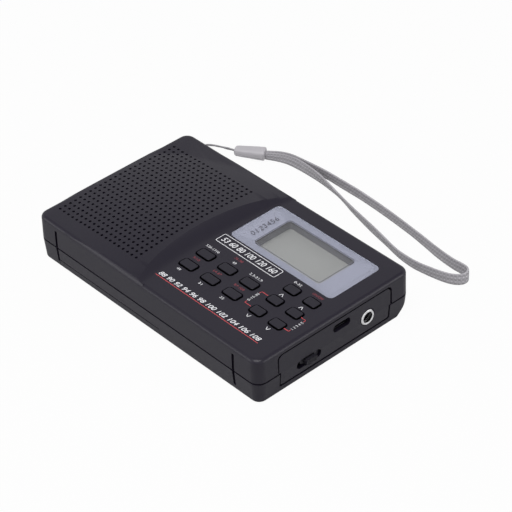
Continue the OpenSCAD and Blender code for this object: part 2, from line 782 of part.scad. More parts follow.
module end_plate() {
    color("#343238") difference() {
        union() {
            end_outline(0, end_back_x, end_face_x, 0, panel_z);
            end_block(end_w + 2*end_flange, end_h - 0.8, end_r, 0, end_mid_z, end_back_x,
                end_back_x + end_flange_t);
        }
        end_block(slot_w, slot_h, slot_h/2 - run, slot_y, slot_z, end_back_x - over, half_w + over);
        end_block(usb_w + 0.7, usb_h + 0.5, usb_h/2, usb_y, usb_z, end_back_x - over, half_w + over);
        rod_x(jack_ring_d/2 + jack_gap, end_back_x - over, half_w + over, jack_y, jack_z);
        end_slope();
    }
}

// Display

module display_lens() {
    color("#c8ccd4") translate([lens_x, lens_y, 0]) plate(lens_w, lens_d, lens_r, lens_z, lens_z + lens_t);
}

module lens_mask() {
    color("#9b9eac") translate([lens_x, lens_y, 0]) difference() {
        plate(lens_w, lens_d, lens_r, mask_z, mask_z + mask_t);
        plate(window_w, window_d, window_r, mask_z - over, lens_z + over);
    }
}

module lcd_panel() {
    w = holder_w - 2*holder_wall - 2*fit;
    d = holder_d - 2*holder_wall - 2*fit;
    color("#9e9e9b") translate([lens_x, lens_y, 0]) box(-w/2, w/2, -d/2, d/2, lcd_z, lcd_z + lcd_t);
}

module lcd_holder() {
    w = holder_w - 2*holder_wall;
    d = holder_d - 2*holder_wall;
    color("#55535b") translate([lens_x, lens_y, 0]) difference() {
        box(-holder_w/2, holder_w/2, -holder_d/2, holder_d/2, board_top, roof_z - run);
        box(-w/2, w/2, -d/2, d/2, board_top - over, lip_z);
        plate(sight_w, sight_d, window_r, board_top, panel_z);
    }
}

module lcd_connector_strips() {
    w = sight_w;
    d = holder_d/2 - holder_wall - fit - 1;
    color("#d98c8c") translate([lens_x, lens_y, 0])
        for (s = [-1, 1]) box(-w/2, w/2, s*d - 0.9, s*d + 0.9, board_top, lcd_z);
}

// Circuit board

module main_board() {
    color("#2f6b3c") difference() {
        box(board_x0, board_x1, board_y0, board_y1, board_z, board_top);
        box(half_w - notch_in, half_w, half_d - notch_far, half_d, board_z - over, board_top + over);
        box(jack_back_x - 3, half_w, jack_y - jack_side/2 - 0.5, jack_y + jack_side/2 + 0.5,
            board_z - over, board_top + over);
        for (p = BOARD_SCREWS) pillar(p, screw_pass_r, board_z - over, board_top + over);
    }
}

module board_chips() {
    color("#26262a") {
        for (c = CHIPS) translate([chip_x + c[0], board_y0 + c[1], board_z - c[4]]) cube([c[2], c[3], c[4]]);
        pillar([chip_x + can_in, board_y0 + can_up], can_r, board_z - can_h, board_z);
    }
}

module board_screws() {
    color("#b8b8bc") for (p = BOARD_SCREWS) {
        pillar(p, screw_r, board_z - run, roof_z - 2);
        pillar(p, board_head_r, board_z - board_head_h, board_z);
    }
}

module key_switches() {
    color("#3a3a3e") for (k = KEYS) translate([k[0], k[1], 0]) difference() {
        box(-tact_w/2, tact_w/2, -tact_w/2, tact_w/2, board_top, tact_top);
        pillar([0, 0], stem_d/2 + run, tact_top - stem_depth - key_travel - 0.3, tact_top + over);
    }
}

module key(i) {
    k = KEYS[i];
    top = panel_z + key_proud;
    under = roof_z - key_float;
    color("#312f35") translate([k[0], k[1], 0]) {
        swept_block(k[2], key_d, key_r, concat([[0, under]], top_edge(0, top, key_round)));
        plate(k[2] + 2*key_flange, key_d + 2*key_flange, key_r, under - key_flange_t, under);
        pillar([0, 0], stem_d/2, tact_top - stem_depth, under - key_flange_t/2);
    }
}

// Socket end

module switch_body() {
    front = end_back_x - fit;
    color("#a9a9ad") difference() {
        box(front - switch_l, front, slot_y - switch_w/2, slot_y + switch_w/2, switch_low_z, board_z);
        box(front - lever_in - fit, front + over, slot_y - switch_travel/2 - lever_w/2 - fit,
            slot_y + switch_travel/2 + lever_w/2 + fit, slot_z - lever_h/2 - fit, slot_z + lever_h/2 + fit);
    }
}

module switch_slider() {
    back = end_back_x + run;
    face = end_face_x - slider_sink;
    tip = end_face_x + knob_proud;
    front = end_back_x - fit;
    color("#3c3a41") {
        end_block(slider_w, slider_h, slider_h/2 - run, slider_rest_y, slot_z, back, face);
        difference() {
            end_block(knob_w, knob_h, 0.4, slider_rest_y + knob_shift, slot_z - knob_drop, face - 0.2, tip);
            for (i = [0:rib_count - 1])
                translate([0, slider_rest_y + knob_shift + (i - (rib_count - 1)/2)*2*rib_t, 0])
                    box(tip - 1.5*rib_t, tip + over, -rib_t/2, rib_t/2, slot_z - slot_h, slot_z + slot_h);
        }
        box(front - lever_in, back + 0.2, slider_rest_y - lever_w/2, slider_rest_y + lever_w/2,
            slot_z - lever_h/2, slot_z + lever_h/2);
    }
}

module usb_shell() {
    mouth = end_face_x - usb_mouth;
    color("#b4b4b8") difference() {
        end_block(usb_w, usb_h, usb_h/3, usb_y, usb_z, mouth - usb_l, mouth);
        end_block(usb_w - 2*usb_t, usb_h - 2*usb_t, usb_h/3 - usb_t, usb_y, usb_z,
            mouth - usb_l + usb_t, mouth + over);
    }
}

module usb_tongue() {
    mouth = end_face_x - usb_mouth;
    color("#1f1f22") box(mouth - usb_l + usb_t, mouth - 1, usb_y - usb_w/4, usb_y + usb_w/4, usb_z - 0.1,
        usb_z + 0.5);
}

module jack_body() {
    color("#242328") difference() {
        union() {
            end_block(jack_side, jack_side, 0.6, jack_y, jack_z, jack_back_x, end_back_x - fit);
            rod_x(jack_mouth_r - run, end_back_x - over, end_face_x + jack_proud - jack_nose_in, jack_y,
                jack_z);
            translate([jack_back_x + jack_tab_in, jack_y, 0]) box(0, jack_tab_l, -jack_side/2 - jack_tab_w,
                jack_side/2 + jack_tab_w, board_top, board_top + jack_tab_t);
        }
        rod_x(jack_bore_d/2, jack_back_x - over, half_w, jack_y, jack_z);
    }
}

module jack_ring() {
    back = end_back_x - fit;
    rim = end_face_x + jack_proud;
    bevel = 0.3;
    color("#d6d6da") translate([back, jack_y, jack_z]) rotate([0, 90, 0]) rotate_extrude()
        polygon([[jack_mouth_r, 0], [jack_ring_d/2, 0], [jack_ring_d/2, rim - back - bevel],
            [jack_ring_d/2 - bevel, rim - back], [jack_mouth_r + bevel/2, rim - back],
            [jack_mouth_r, rim - back - bevel/2]]);
}

// Loudspeaker

module speaker_frame() {
    top = roof_z;
    hub_r = magnet_d/2 + 0.4;
    hub_z = roof_z - 0.6*speaker_h;
    color("#2b2b2f") translate([grille_x, grille_y, 0]) rotate_extrude()
        polygon([[speaker_r - speaker_rim_w, top], [speaker_r, top], [speaker_r, top - speaker_rim_h],
            [speaker_r - 1.4, top - speaker_rim_h], [hub_r, hub_z], [magnet_d/3, hub_z],
            [magnet_d/3, hub_z + 0.8], [hub_r - 0.4, hub_z + 0.8],
            [speaker_r - speaker_rim_w, top - speaker_rim_h + 0.6]]);
}

module speaker_cone() {
    edge = speaker_r - ring_seat - fit;
    seat = speaker_r - speaker_rim_w - fit;
    low = roof_z - 0.6*speaker_h + 1.2;
    cap_r = magnet_d/3;
    color("#1d1d20") translate([grille_x, grille_y, 0]) rotate_extrude()
        polygon([[0, low + 0.9], [cap_r*0.6, low + 0.6], [cap_r, low], [seat - 0.6, roof_z - 0.5],
            [seat, roof_z],
            [edge, roof_z], [edge, roof_z + 0.3], [edge - 0.6, roof_z + 0.5], [seat - 0.8, roof_z + 0.1],
            [cap_r, low + 0.5], [cap_r*0.6, low + 1.1], [0, low + 1.4]]);
}

module speaker_magnet() {
    top = roof_z - 0.6*speaker_h;
    low = roof_z - speaker_h;
    bevel = 0.5;
    color("#8f8f94") translate([grille_x, grille_y, 0]) rotate_extrude()
        polygon([[0, low], [magnet_d/2 - bevel, low], [magnet_d/2, low + bevel], [magnet_d/2, top],
            [0, top]]);
}

// Ferrite aerial

module ferrite_rod() {
    color("#3b3a40") rod_x(rod_r, rod_x0, rod_x0 + rod_l, rod_y, rod_z);
}

module ferrite_coil() {
    mid = rod_x0 + rod_l/2;
    color("#b5713c") difference() {
        rod_x(coil_r, mid - coil_l/2, mid + coil_l/2, rod_y, rod_z);
        rod_x(rod_r, mid - coil_l, mid + coil_l, rod_y, rod_z);
    }
}

// Battery

module battery_pack() {
    gap = 0.2;
    mid_y = (bay_y0 + bay_y1)/2;
    color("#5d6a7c") translate([bay_x0 + gap + pack_w/2, mid_y, 0])
        plate(pack_w, pack_d, 1, door_t + fit, door_t + fit + pack_t);
}

module battery_contacts() {
    mid_y = (bay_y0 + bay_y1)/2;
    color("#c9a648") for (i = [0:contact_count - 1])
        translate([0, mid_y + (i - (contact_count - 1)/2)*contact_pitch, 0])
            box(bay_x1 - 0.75, bay_x1, -contact_w/2, contact_w/2, door_t + 1.5, door_t + pack_t - 1);
}

module battery_door() {
    color("#333137") {
        intersection() {
            swept_block(case_w, case_d, corner_r, rear_profile());
            door_space(0, 0);
        }
        box(door_x0 + 6 + fit, door_x1 - 6 - fit, door_y1 - over, door_y1 + door_tongue, door_tongue_z,
            door_t);
    }
}

module case_screws() {
    color("#6d6d72") for (p = CASE_SCREWS) difference() {
        union() {
            pillar(p, screw_r, head_z + head_h/2, screw_tip_z);
            pillar(p, head_r, head_z, head_z + head_h);
        }
        for (a = [0, 90]) translate([p[0], p[1], 0]) rotate(a) box(-1.2, 1.2, -0.25, 0.25, head_z - over,
            head_z + 0.7);
    }
}

// Whip

module whip_bracket() {
    color("#c2c2c6") leaned() difference() {
        box(pivot_x - bracket_w/2, pivot_x + bracket_w/2, bracket_back_y, whip_y + knuckle_r, bracket_low_z,
            bracket_low_z + bracket_h);
        box(pivot_x - bracket_w, pivot_x + bracket_w, bracket_back_y + bracket_web, half_d,
            whip_z - knuckle_h/2 - run, whip_z + knuckle_h/2 + run);
        pillar([pivot_x, whip_y], pivot_d/2, -over, seam_z + over);
    }
}

module whip_pin() {
    color("#d2d2d6") leaned() pillar([pivot_x, whip_y], pivot_d/2, bracket_low_z, bracket_low_z + bracket_h);
}

module whip_knuckle() {
    color("#cfcfd3") leaned() difference() {
        union() {
            pillar([pivot_x, whip_y], knuckle_r, whip_z - knuckle_h/2, whip_z + knuckle_h/2);
            rod_x(neck_r, whip_x - over, pivot_x - pivot_d/2, whip_y, whip_z);
            rod_x(whip_d/2 - whip_wall, whip_x - knuckle_plug_l, whip_x, whip_y, whip_z);
        }
        pillar([pivot_x, whip_y], pivot_d/2 + run, -over, seam_z + over);
    }
}

// Tube i of the nest, counted from the outside; each ends a little further out than the one round it
module whip_tube(i) {
    r = whip_d/2 - i*whip_step/2;
    x0 = whip_x - whip_l - i*whip_stub;
    x1 = i == 0 ? whip_x : whip_x - knuckle_plug_l - 0.5;
    color("#d8d8dc") difference() {
        rod_x(r, x0, x1, whip_y, whip_z);
        if (i < 4) rod_x(r - whip_wall, x0 - over, x1 + over, whip_y, whip_z);
    }
}

module whip_tip() {
    r = whip_d/2;
    bevel = 0.8;
    color("#d8d8dc") translate([whip_x - whip_l - 4*whip_stub, whip_y, whip_z])
        rotate([0, -90, 0]) rotate_extrude()
        polygon([[0, 0], [r, 0], [r, tip_l - bevel], [r - bevel, tip_l], [0, tip_l]]);
}

// Strap

function unit(v) = v/norm(v);
function heading(route, i) = unit(route[min(i + 1, len(route) - 1)] - route[max(i - 1, 0)]);

// Closed tube through rings of points, each ring with the same number of points
module ring_tube(rings) {
    n = len(rings[0]);
    last = len(rings) - 1;
    sides = [for (i = [0:last - 1], k = [0:n - 1]) each [
        [i*n + k, i*n + (k + 1) % n, (i + 1)*n + k],
        [i*n + (k + 1) % n, (i + 1)*n + (k + 1) % n, (i + 1)*n + k]]];
    caps = [[for (k = [n - 1:-1:0]) k], [for (k = [0:n - 1]) last*n + k]];
    polyhedron([for (ring = rings) each ring], concat(sides, caps));
}

module strap_string() {
    rings = [for (i = [0:len(STRING_ROUTE) - 1])
        let (t = heading(STRING_ROUTE, i), side = unit(cross(t, [0, 0, 1])), top = cross(side, t))
        [for (k = [0:string_sides - 1]) let (a = 360*k/string_sides)
            STRING_ROUTE[i] + string_d/2*(side*cos(a) + top*sin(a))]];
    color("#b9b8bc") ring_tube(rings);
}

// Tapered moulding with round edges: its long edges taper with it, its ends are rounded in plan and from the side
module ferrule_outline(w) {
    polygon(concat([for (a = [180:30:270]) [ferrule_round + ferrule_round*cos(a),
            -ferrule_nose*w/2 + ferrule_round + ferrule_round*sin(a)]],
        [for (a = [270:30:360]) [ferrule_l - ferrule_end + ferrule_end*cos(a),
            -w/2 + ferrule_end + ferrule_end*sin(a)]],
        [for (a = [0:30:90]) [ferrule_l - ferrule_end + ferrule_end*cos(a),
            w/2 - ferrule_end + ferrule_end*sin(a)]],
        [for (a = [90:30:180]) [ferrule_round + ferrule_round*cos(a),
            ferrule_nose*w/2 - ferrule_round + ferrule_round*sin(a)]]));
}

module strap_ferrule() {
    color("#bdb9bf") translate(ferrule_from) rotate(ferrule_turn) intersection() {
        translate([0, 0, -ferrule_h]) linear_extrude(2*ferrule_h) ferrule_outline(ferrule_w);
        translate([0, ferrule_w, 0]) rotate([90, 0, 0]) linear_extrude(2*ferrule_w)
            ferrule_outline(ferrule_h);
        rotate([90, 0, 90]) linear_extrude(ferrule_l, scale = 1/ferrule_nose)
            polygon(round_rect(ferrule_nose*ferrule_w, ferrule_nose*ferrule_h, ferrule_nose*ferrule_round));
    }
}

module strap_webbing() {
    flat = [for (p = BAND_ROUTE) [p[0], p[1], 0]];
    rings = [for (i = [0:len(flat) - 1])
        let (t = heading(flat, i), side = cross([0, 0, 1], t), lean = BAND_ROUTE[i][2],
            broad = [0, 0, cos(lean)] + side*sin(lean), thin = side*cos(lean) - [0, 0, sin(lean)],
            rise = band_w/2*cos(lean) + band_t/2*abs(sin(lean)) + band_floor,
            tight = min(1, band_gather + (1 - band_gather)*min(i, len(flat) - 1 - i)/3))
        [for (q = BAND_SHAPE) flat[i] + [0, 0, rise] + thin*q[0]*band_t + broad*q[1]*tight*band_w]];
    color("#8f8f94") ring_tube(rings);
}

front_case();
rear_case();
end_plate();
display_lens();
lens_mask();
lcd_panel();
lcd_holder();
lcd_connector_strips();
main_board();
board_chips();
board_screws();
key_switches();
key(0);  // key_station_1
key(1);  // key_station_2
key(2);  // key_station_3
key(3);  // key_band_1
key(4);  // key_band_2
key(5);  // key_band_3
key(6);  // key_mute
key(7);  // key_volume_up
key(8);  // key_volume_down
key(9);  // key_power
key(10);  // key_tune_up
key(11);  // key_tune_down
switch_body();
switch_slider();
usb_shell();
usb_tongue();
jack_body();
jack_ring();
speaker_frame();
speaker_cone();
speaker_magnet();
ferrite_rod();
ferrite_coil();
battery_pack();
battery_contacts();
battery_door();
case_screws();
whip_bracket();
whip_pin();
whip_knuckle();
whip_tube(0);  // whip_tube_1
whip_tube(1);  // whip_tube_2
whip_tube(2);  // whip_tube_3
whip_tube(3);  // whip_tube_4
whip_tube(4);  // whip_tube_5
whip_tip();
strap_string();
strap_ferrule();
strap_webbing();
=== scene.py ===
"""Finishes, prints, strap and stage for the pocket shortwave receiver.

Lengths are metres in the part's own frame: X along the panel to the socket end, Y to the whip
side, Z out of the panel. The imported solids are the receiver; this file dresses them.
"""

import math

import bpy
from bpy.props import FloatProperty, FloatVectorProperty, PointerProperty
from mathutils import Matrix, Vector


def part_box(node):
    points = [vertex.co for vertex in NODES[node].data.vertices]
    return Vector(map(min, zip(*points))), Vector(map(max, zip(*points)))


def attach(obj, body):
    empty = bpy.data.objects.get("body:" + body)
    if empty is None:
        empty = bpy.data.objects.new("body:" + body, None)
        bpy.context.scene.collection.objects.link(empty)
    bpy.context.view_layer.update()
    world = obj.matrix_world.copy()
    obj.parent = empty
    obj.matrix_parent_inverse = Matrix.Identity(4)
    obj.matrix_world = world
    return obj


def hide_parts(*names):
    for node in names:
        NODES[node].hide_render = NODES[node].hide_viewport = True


bl_info = {
    "name": "Pocket receiver looks",
    "version": (1, 0, 0),
    "blender": (4, 5, 0),
    "location": "3D View > Sidebar > Receiver",
    "description": "Finishes, prints, strap and stage of a pocket shortwave receiver",
    "category": "Object",
}

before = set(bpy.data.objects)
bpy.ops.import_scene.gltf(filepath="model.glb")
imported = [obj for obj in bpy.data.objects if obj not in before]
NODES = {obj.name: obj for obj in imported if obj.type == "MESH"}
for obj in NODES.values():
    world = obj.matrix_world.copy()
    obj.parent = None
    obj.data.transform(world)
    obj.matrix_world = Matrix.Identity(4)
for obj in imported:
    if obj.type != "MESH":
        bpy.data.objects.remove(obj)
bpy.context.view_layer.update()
KEY_NAMES = [name for name in NODES if name.startswith("key_") and name != "key_switches"]
MM = 0.001
UP = Vector((0, 0, 1))
QUARTER_TURN = math.pi / 2
LENS_LOW, LENS_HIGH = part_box("display_lens")
# The panel stands a little proud of the lens
PANEL_Z = LENS_HIGH.z + 0.1 * MM
# Below this height a key's walls are painted black with no shine: painted shade of the gap round the key
KEY_SHADE_TOP = PANEL_Z + 0.26 * MM

# Specular level of the moulded plastic, below the usual 0.5 because its grain is matt
SHINE = 0.34
# Length over which a Wave texture of scale 1 repeats
WAVE_LENGTH = 2 * math.pi / 20
# Sockets of a Mix node that mixes colours: its two inputs and its result
MIX_A, MIX_B, MIX_OUT = 6, 7, 2
# A solid's loose triangles merge over this distance, and its edges are shaded smooth up to this angle
WELD = 0.002 * MM
SMOOTH_UP_TO = math.radians(32)

# Prints on the lens in millimetres: count, first place from the lens's corner, and spacing along Y
LENS_DIGITS, LENS_DIGIT_FIRST, LENS_DIGIT_STEP = 7, (5.5, 6.6), 1.95
# Fine line round the display window in millimetres: middle, half size, corner radius and width
RIM_MIDDLE, RIM_HALF, RIM_CORNER, RIM_WIDTH = (25.75, 17.45), (17.1, 9.15), 1.4, 0.3

# Prints on the panel in millimetres: what is printed, its middle along X and Y, and its width
SCALE = ("53 60 80 100 120 160", 13.9, 1.65, 28)
DIAL = (" ".join(str(88 + 2 * i) for i in range(11)), 24.9, -27.35, 52.5)
WHITE_LABELS = [
    ("520-1710", 1.85, -5.05, 6.7),
    ("49", 13.35, -5.05, 1.7),
    ("2.3-21.9", 24.75, -5.05, 6.3),
    ("49", 1.9, -21.4, 1.8),
    ("31", 13.5, -21.4, 1.7),
    ("25", 24.85, -21.4, 1.8),
    ("0-32", 38, 2.9, 3.6),
]
RED_LABELS = [
    ("76-90", 13.25, -2.8, 4.2),
    ("9/10", 2, -13.1, 3.2),
    ("64-87", 13.2, -13.1, 4),
    ("87-108", 24.75, -13.1, 5),
    ("ON/OFF", 48, 3, 5.1),
]
UPRIGHT_LABELS = [("0-15-30", 32.2, -13.2, 5.2), ("1 2 3 4 5", 54.5, -13.2, 5.2)]
# Frame round the scale: two corners and the corner radius; red line under the dial: its two ends
SCALE_FRAME, SCALE_CORNER = ((-1.7, -0.9), (29.4, 4.2)), 0.8
DIAL_LINE = ((-1.8, -29.05), (51.6, -29.05))
# Arrows by the narrow keys: columns along X, rows along Y with the way they point, and half sizes
ARROW_COLUMNS, ARROW_ROWS = (38.5, 48.4), ((-5.4, 1), (-21.5, -1))
ARROW_HALF_WIDE, ARROW_HALF_TALL = 0.75, 0.65
# Red brackets round the upright labels: X of a corner and of its arm's end, then the same along Y
BRACKETS_X, BRACKETS_Y = ((32.2, 35.2), (54.5, 52.3)), ((-9.1, -10.1), (-17.3, -16.3))

# Strap routes, as the solids have them, in millimetres; the band's third value is its lean in degrees
STRING_ROUTE = [
    (-55.6, 56, 3.3), (-56.6, 55.4, 3.5), (-57.4, 54.6, 3.9), (-57.6, 53.2, 4.8), (-57.5, 51.7, 5.8),
    (-57.6, 50, 7), (-57.6, 48.3, 8.2), (-57.6, 46.7, 9.2), (-57.4, 45.1, 10.2), (-56.9, 43.6, 11.2),
    (-56.1, 42.2, 12), (-55, 40.6, 12.6), (-53.8, 39.2, 13), (-53.1, 37.4, 13.2), (-52.9, 35.2, 13.2),
    (-52.5, 34.2, 13.1), (-51.5, 33.8, 13), (-50.5, 34.2, 12.9), (-50.1, 35.2, 12.8), (-50.4, 37.2, 12.6),
    (-51.6, 39, 12.3), (-53.4, 40.6, 12), (-55.2, 42, 11.6), (-56.6, 43.3, 10.9), (-57.6, 44.9, 9.9),
    (-58.1, 46.7, 8.7), (-58.2, 48.7, 7.5), (-58.1, 50.6, 6.2), (-58, 52.4, 5), (-57.9, 53.9, 3.8),
    (-57.6, 55.1, 3), (-56.9, 56, 2.6), (-56, 56.5, 2.5),
]
BAND_ROUTE = [
    (-44.4, 62.7, 0), (-40.5, 65.2, 0), (-36.6, 67, 0), (-31.4, 67.9, 0), (-24.5, 67.9, -4),
    (-18, 67.4, -12), (-12.5, 66.5, -20), (-7, 65.4, -27), (-2, 64.1, -26), (2.5, 62.8, -22),
    (9.5, 61.1, -18), (18, 59.2, -14), (27, 57.3, -16), (32, 56.1, -17), (37, 55.2, -16),
    (43, 54.9, -13), (47.5, 55.3, -12), (51.5, 56, -9), (55.5, 56.9, -6), (59, 58.1, -4),
    (61.6, 59.8, -2), (62.9, 62, 0), (62.5, 64.2, 0), (60.6, 65.5, 0), (57.5, 65.6, 0), (55, 65.4, 1),
    (50, 65.6, 2), (44.5, 66.2, 3), (37, 67.4, 7), (30, 68.4, 10), (23, 69.2, 10), (16, 69.9, 10),
    (8, 70.5, 10), (0, 70.9, 10), (-7, 70.9, 10), (-12.5, 70.9, 11), (-17, 70.9, 12), (-21.5, 70.6, 12),
    (-28, 69.9, 11), (-34, 69, 8), (-37.5, 68.2, 5), (-41, 66.6, 2), (-45, 63.7, 0),
]
# Section of the band, in shares of its thickness and its width
BAND_SHAPE = [
    (-0.5, -0.35), (-0.4, -0.46), (-0.2, -0.5), (0.2, -0.5), (0.4, -0.46), (0.5, -0.35), (0.5, 0),
    (0.5, 0.35), (0.4, 0.46), (0.2, 0.5), (-0.2, 0.5), (-0.4, 0.46), (-0.5, 0.35), (-0.5, 0),
]
# Radius of the string as drawn
STRING_RADIUS = 0.29 * MM
# Steps drawn between two points of a route
STRING_STEPS, BAND_STEPS = 3, 5
# The band gathers to this share of its width at the ferrule, over this many steps
GATHER, GATHER_STEPS = 0.64, 3 * BAND_STEPS
# The band is drawn this far clear of the floor
BAND_LIFT = 0.05 * MM

# Softboxes, all turned to the receiver: name, place and width in metres, and power in watts
SOFTBOXES = [
    ("near softbox", (-0.6, -0.78, 0.18), 0.45, 1.7),
    ("end softbox", (0.82, 0.52, 0.2), 0.45, 2.0),
    ("front softbox", (0.15, -0.3, 0.94), 0.6, 8.0),
]
# Studio walls as gloss mirrors them: level up to the lower height, fading to the level above the upper
WALL_HEIGHTS, WALL_LEVELS = (0.56, 0.82), (0.84, 0.08)
# Least level of the studio on every ray, and the floor's white on camera rays and in gloss
AMBIENT, FLOOR_SEEN, FLOOR_MIRRORED = 0.3, 0.96, 0.1
# Side of the floor in metres, and its height just under the receiver's back
FLOOR_SIDE, FLOOR_Z = 6, -0.1 * MM
# Width of the camera's sensor in millimetres
SENSOR = 36


def linear(code):
    """The linear colour of an sRGB hex code."""
    parts = [int(code[i : i + 2], 16) / 255 for i in (1, 3, 5)]
    return [c / 12.92 if c <= 0.04045 else ((c + 0.055) / 1.055) ** 2.4 for c in parts] + [1.0]


def mm(*values):
    """Millimetres as metres."""
    return tuple(value * MM for value in values)


def colour(name, about, code):
    """A setting that is a colour."""
    return FloatVectorProperty(
        name=name, description=about, default=linear(code), subtype="COLOR", size=4, min=0, max=1
    )


def length(name, about, millimetres):
    """A setting that is a length."""
    return FloatProperty(
        name=name, description=about, default=millimetres * MM, unit="LENGTH", precision=5
    )


def angle(name, about, degrees):
    """A setting that is an angle."""
    return FloatProperty(name=name, description=about, default=math.radians(degrees), subtype="ANGLE")


class ReceiverColours(bpy.types.PropertyGroup):
    """Colours of the receiver's finishes"""

    case: colour("Case", "Charcoal plastic of both shells", "#181422")
    keys: colour("Keys", "Plastic of the keys", "#171421")
    # Paler than the keys' plastic: a painted lift of light for the knob, which sits in the shade of its
    # slot
    slider: colour("Slider", "Plastic of the slide switch's knob", "#2a2830")
    mask: colour("Mask", "Grey print under the display lens", "#9fa1b3")
    display: colour("Display", "Unlit liquid crystal panel", "#9a9a98")
    holder: colour("Holder", "Walls round the liquid crystal panel", "#6c6b73")
    white_ink: colour("White ink", "Pale prints on the panel", "#e2e2e6")
    red_ink: colour("Red ink", "Red lines on the panel", "#c04a50")
    faint_ink: colour("Faint ink", "Small red prints beside the keys", "#94404a")
    dark_ink: colour("Dark ink", "Prints on the lens", "#62626e")
    strap: colour("Strap", "Woven strap", "#b3b0b6")
    string: colour("String", "Thin string of the strap", "#a5a3a8")
    ferrule: colour("Ferrule", "Moulded ferrule of the strap", "#b9b6bb")
    floor: colour("Floor", "Pale floor under the receiver", "#c8c8c8")


class ReceiverSizes(bpy.types.PropertyGroup):
    """Sizes of the prints, the patterns and the strap"""

    ink: length("Ink", "Thickness of a print", 0.03)
    stroke: length("Stroke", "Width of the lines on the panel", 0.27)
    label: length("Label", "Height of the small numbers beside the keys", 1.1)
    dial: length("Dial", "Height of the numbers along the near edge", 1.95)
    band: length("Band", "Height of the numbers in the framed scale", 2.5)
    digit: length("Digit", "Height of the numbers on the lens", 2.4)
    grain: length("Grain", "Size of the mould grain on the case", 0.5)
    fine_grain: length("Fine grain", "Size of the mould grain on the keys", 0.4)
    strap: length("Strap", "Width of the woven strap", 5.0)
    thick: length("Thick", "Thickness of the woven strap", 0.9)
    grip: length("Grip", "Length of each string end inside the ferrule", 3.0)
    braid: length("Braid", "Spacing of the strap's woven yarns", 1.1)
    fold: length("Fold", "Spacing of the folds along the strap", 1.9)
    skin: length("Skin", "Facet size of the ferrule's eased skin", 0.25)


class ReceiverView(bpy.types.PropertyGroup):
    """Place of the camera"""

    azimuth: angle("Azimuth", "Turn about Z", 48.786)
    elevation: angle("Elevation", "Height angle", 38.067)
    roll: angle("Roll", "Turn about the sight line", -2.179)
    distance: length("Distance", "From the middle of the back to the camera", 835.465)
    across: length("Across", "Shift of the camera to its right", 12.403)
    rise: length("Rise", "Shift of the camera upwards", 9.533)
    lens: FloatProperty(name="Lens", description="Focal length", default=160.46, unit="CAMERA")


# Materials


def node(tree, kind, inputs=None, **settings):
    """Adds a node with its settings; an input that is given a socket is linked to it."""
    made = tree.nodes.new(kind)
    for key, value in settings.items():
        setattr(made, key, value)
    for key, value in (inputs or {}).items():
        if isinstance(value, bpy.types.NodeSocket):
            tree.links.new(value, made.inputs[key])
        else:
            made.inputs[key].default_value = value
    return made


def begin(name, sockets):
    """A material with one Principled shader; returns it with its tree and shader."""
    made = bpy.data.materials.new(name)
    made.use_nodes = True
    tree = made.node_tree
    tree.nodes.clear()
    shader = node(tree, "ShaderNodeBsdfPrincipled", sockets)
    node(tree, "ShaderNodeOutputMaterial", {"Surface": shader.outputs["BSDF"]})
    return made, tree, shader


def end_with(tree, shader):
    """Lets a material end with another shader than its first."""
    output = next(n for n in tree.nodes if n.type == "OUTPUT_MATERIAL")
    tree.links.new(shader.outputs["Shader"], output.inputs["Surface"])


def shade(rgba, factor):
    """A colour made darker or lighter."""
    return [min(1.0, c * factor) for c in rgba[:3]] + [1.0]


def mottle(tree, shader, rgba, size, spread):
    """Lets the base colour drift by a share of itself over patches of one size."""
    place = node(tree, "ShaderNodeTexCoord").outputs["Object"]
    cloud = node(tree, "ShaderNodeTexNoise", {"Vector": place, "Scale": 1 / size, "Detail": 3.0})
    tone = node(
        tree,
        "ShaderNodeMix",
        {"Factor": cloud.outputs["Fac"], MIX_A: shade(rgba, 1 - spread), MIX_B: shade(rgba, 1 + spread)},
        data_type="RGBA",
    )
    tree.links.new(tone.outputs[MIX_OUT], shader.inputs["Base Color"])
    return place


def moulded_abs(name, rgba, grain, rough, shade_top=None):
    """ABS from a spark-eroded mould: a fine even grain that breaks the highlights up.

    The real grain is about 0.1 mm; it is drawn coarser, at the size given, so that it shows.
    Where a shade height is given, the walls below it are painted black and hardly shine: painted shade of
    the gap round a key.
    """
    made, tree, shader = begin(name, {"IOR": 1.53, "Specular IOR Level": SHINE})
    place = mottle(tree, shader, rgba, 14 * MM, 0.05)
    speck = node(tree, "ShaderNodeTexNoise", {"Vector": place, "Scale": 1 / grain, "Detail": 2.0})
    gloss = node(
        tree,
        "ShaderNodeMapRange",
        {"Value": speck.outputs["Fac"], "To Min": rough - 0.05, "To Max": rough + 0.07},
    )
    bump = node(
        tree,
        "ShaderNodeBump",
        {"Height": speck.outputs["Fac"], "Strength": 0.35, "Distance": 0.03 * MM},
    )
    tree.links.new(gloss.outputs["Result"], shader.inputs["Roughness"])
    tree.links.new(bump.outputs["Normal"], shader.inputs["Normal"])
    if shade_top:
        blacken_below(tree, shader, place, shade_top)
    return made


def blacken_below(tree, shader, place, shade_top):
    """Paints shade: what lies below a height is made black, with hardly any shine, as the shade in the
    gap round a key.
    """
    height = node(tree, "ShaderNodeSeparateXYZ", {0: place}).outputs["Z"]
    fade = 0.1 * MM
    top = node(
        tree,
        "ShaderNodeMapRange",
        {"Value": height, "From Min": shade_top, "From Max": shade_top + fade},
    ).outputs["Result"]
    shine = node(tree, "ShaderNodeMath", {0: top, 1: SHINE}, operation="MULTIPLY")
    tree.links.new(shine.outputs[0], shader.inputs["Specular IOR Level"])
    tone = shader.inputs["Base Color"].links[0].from_socket
    # Painted shade: near-black below the height, the grained tone above it
    face = node(
        tree,
        "ShaderNodeMix",
        {"Factor": top, MIX_A: linear("#040405"), MIX_B: tone},
        data_type="RGBA",
    )
    tree.links.new(face.outputs[MIX_OUT], shader.inputs["Base Color"])


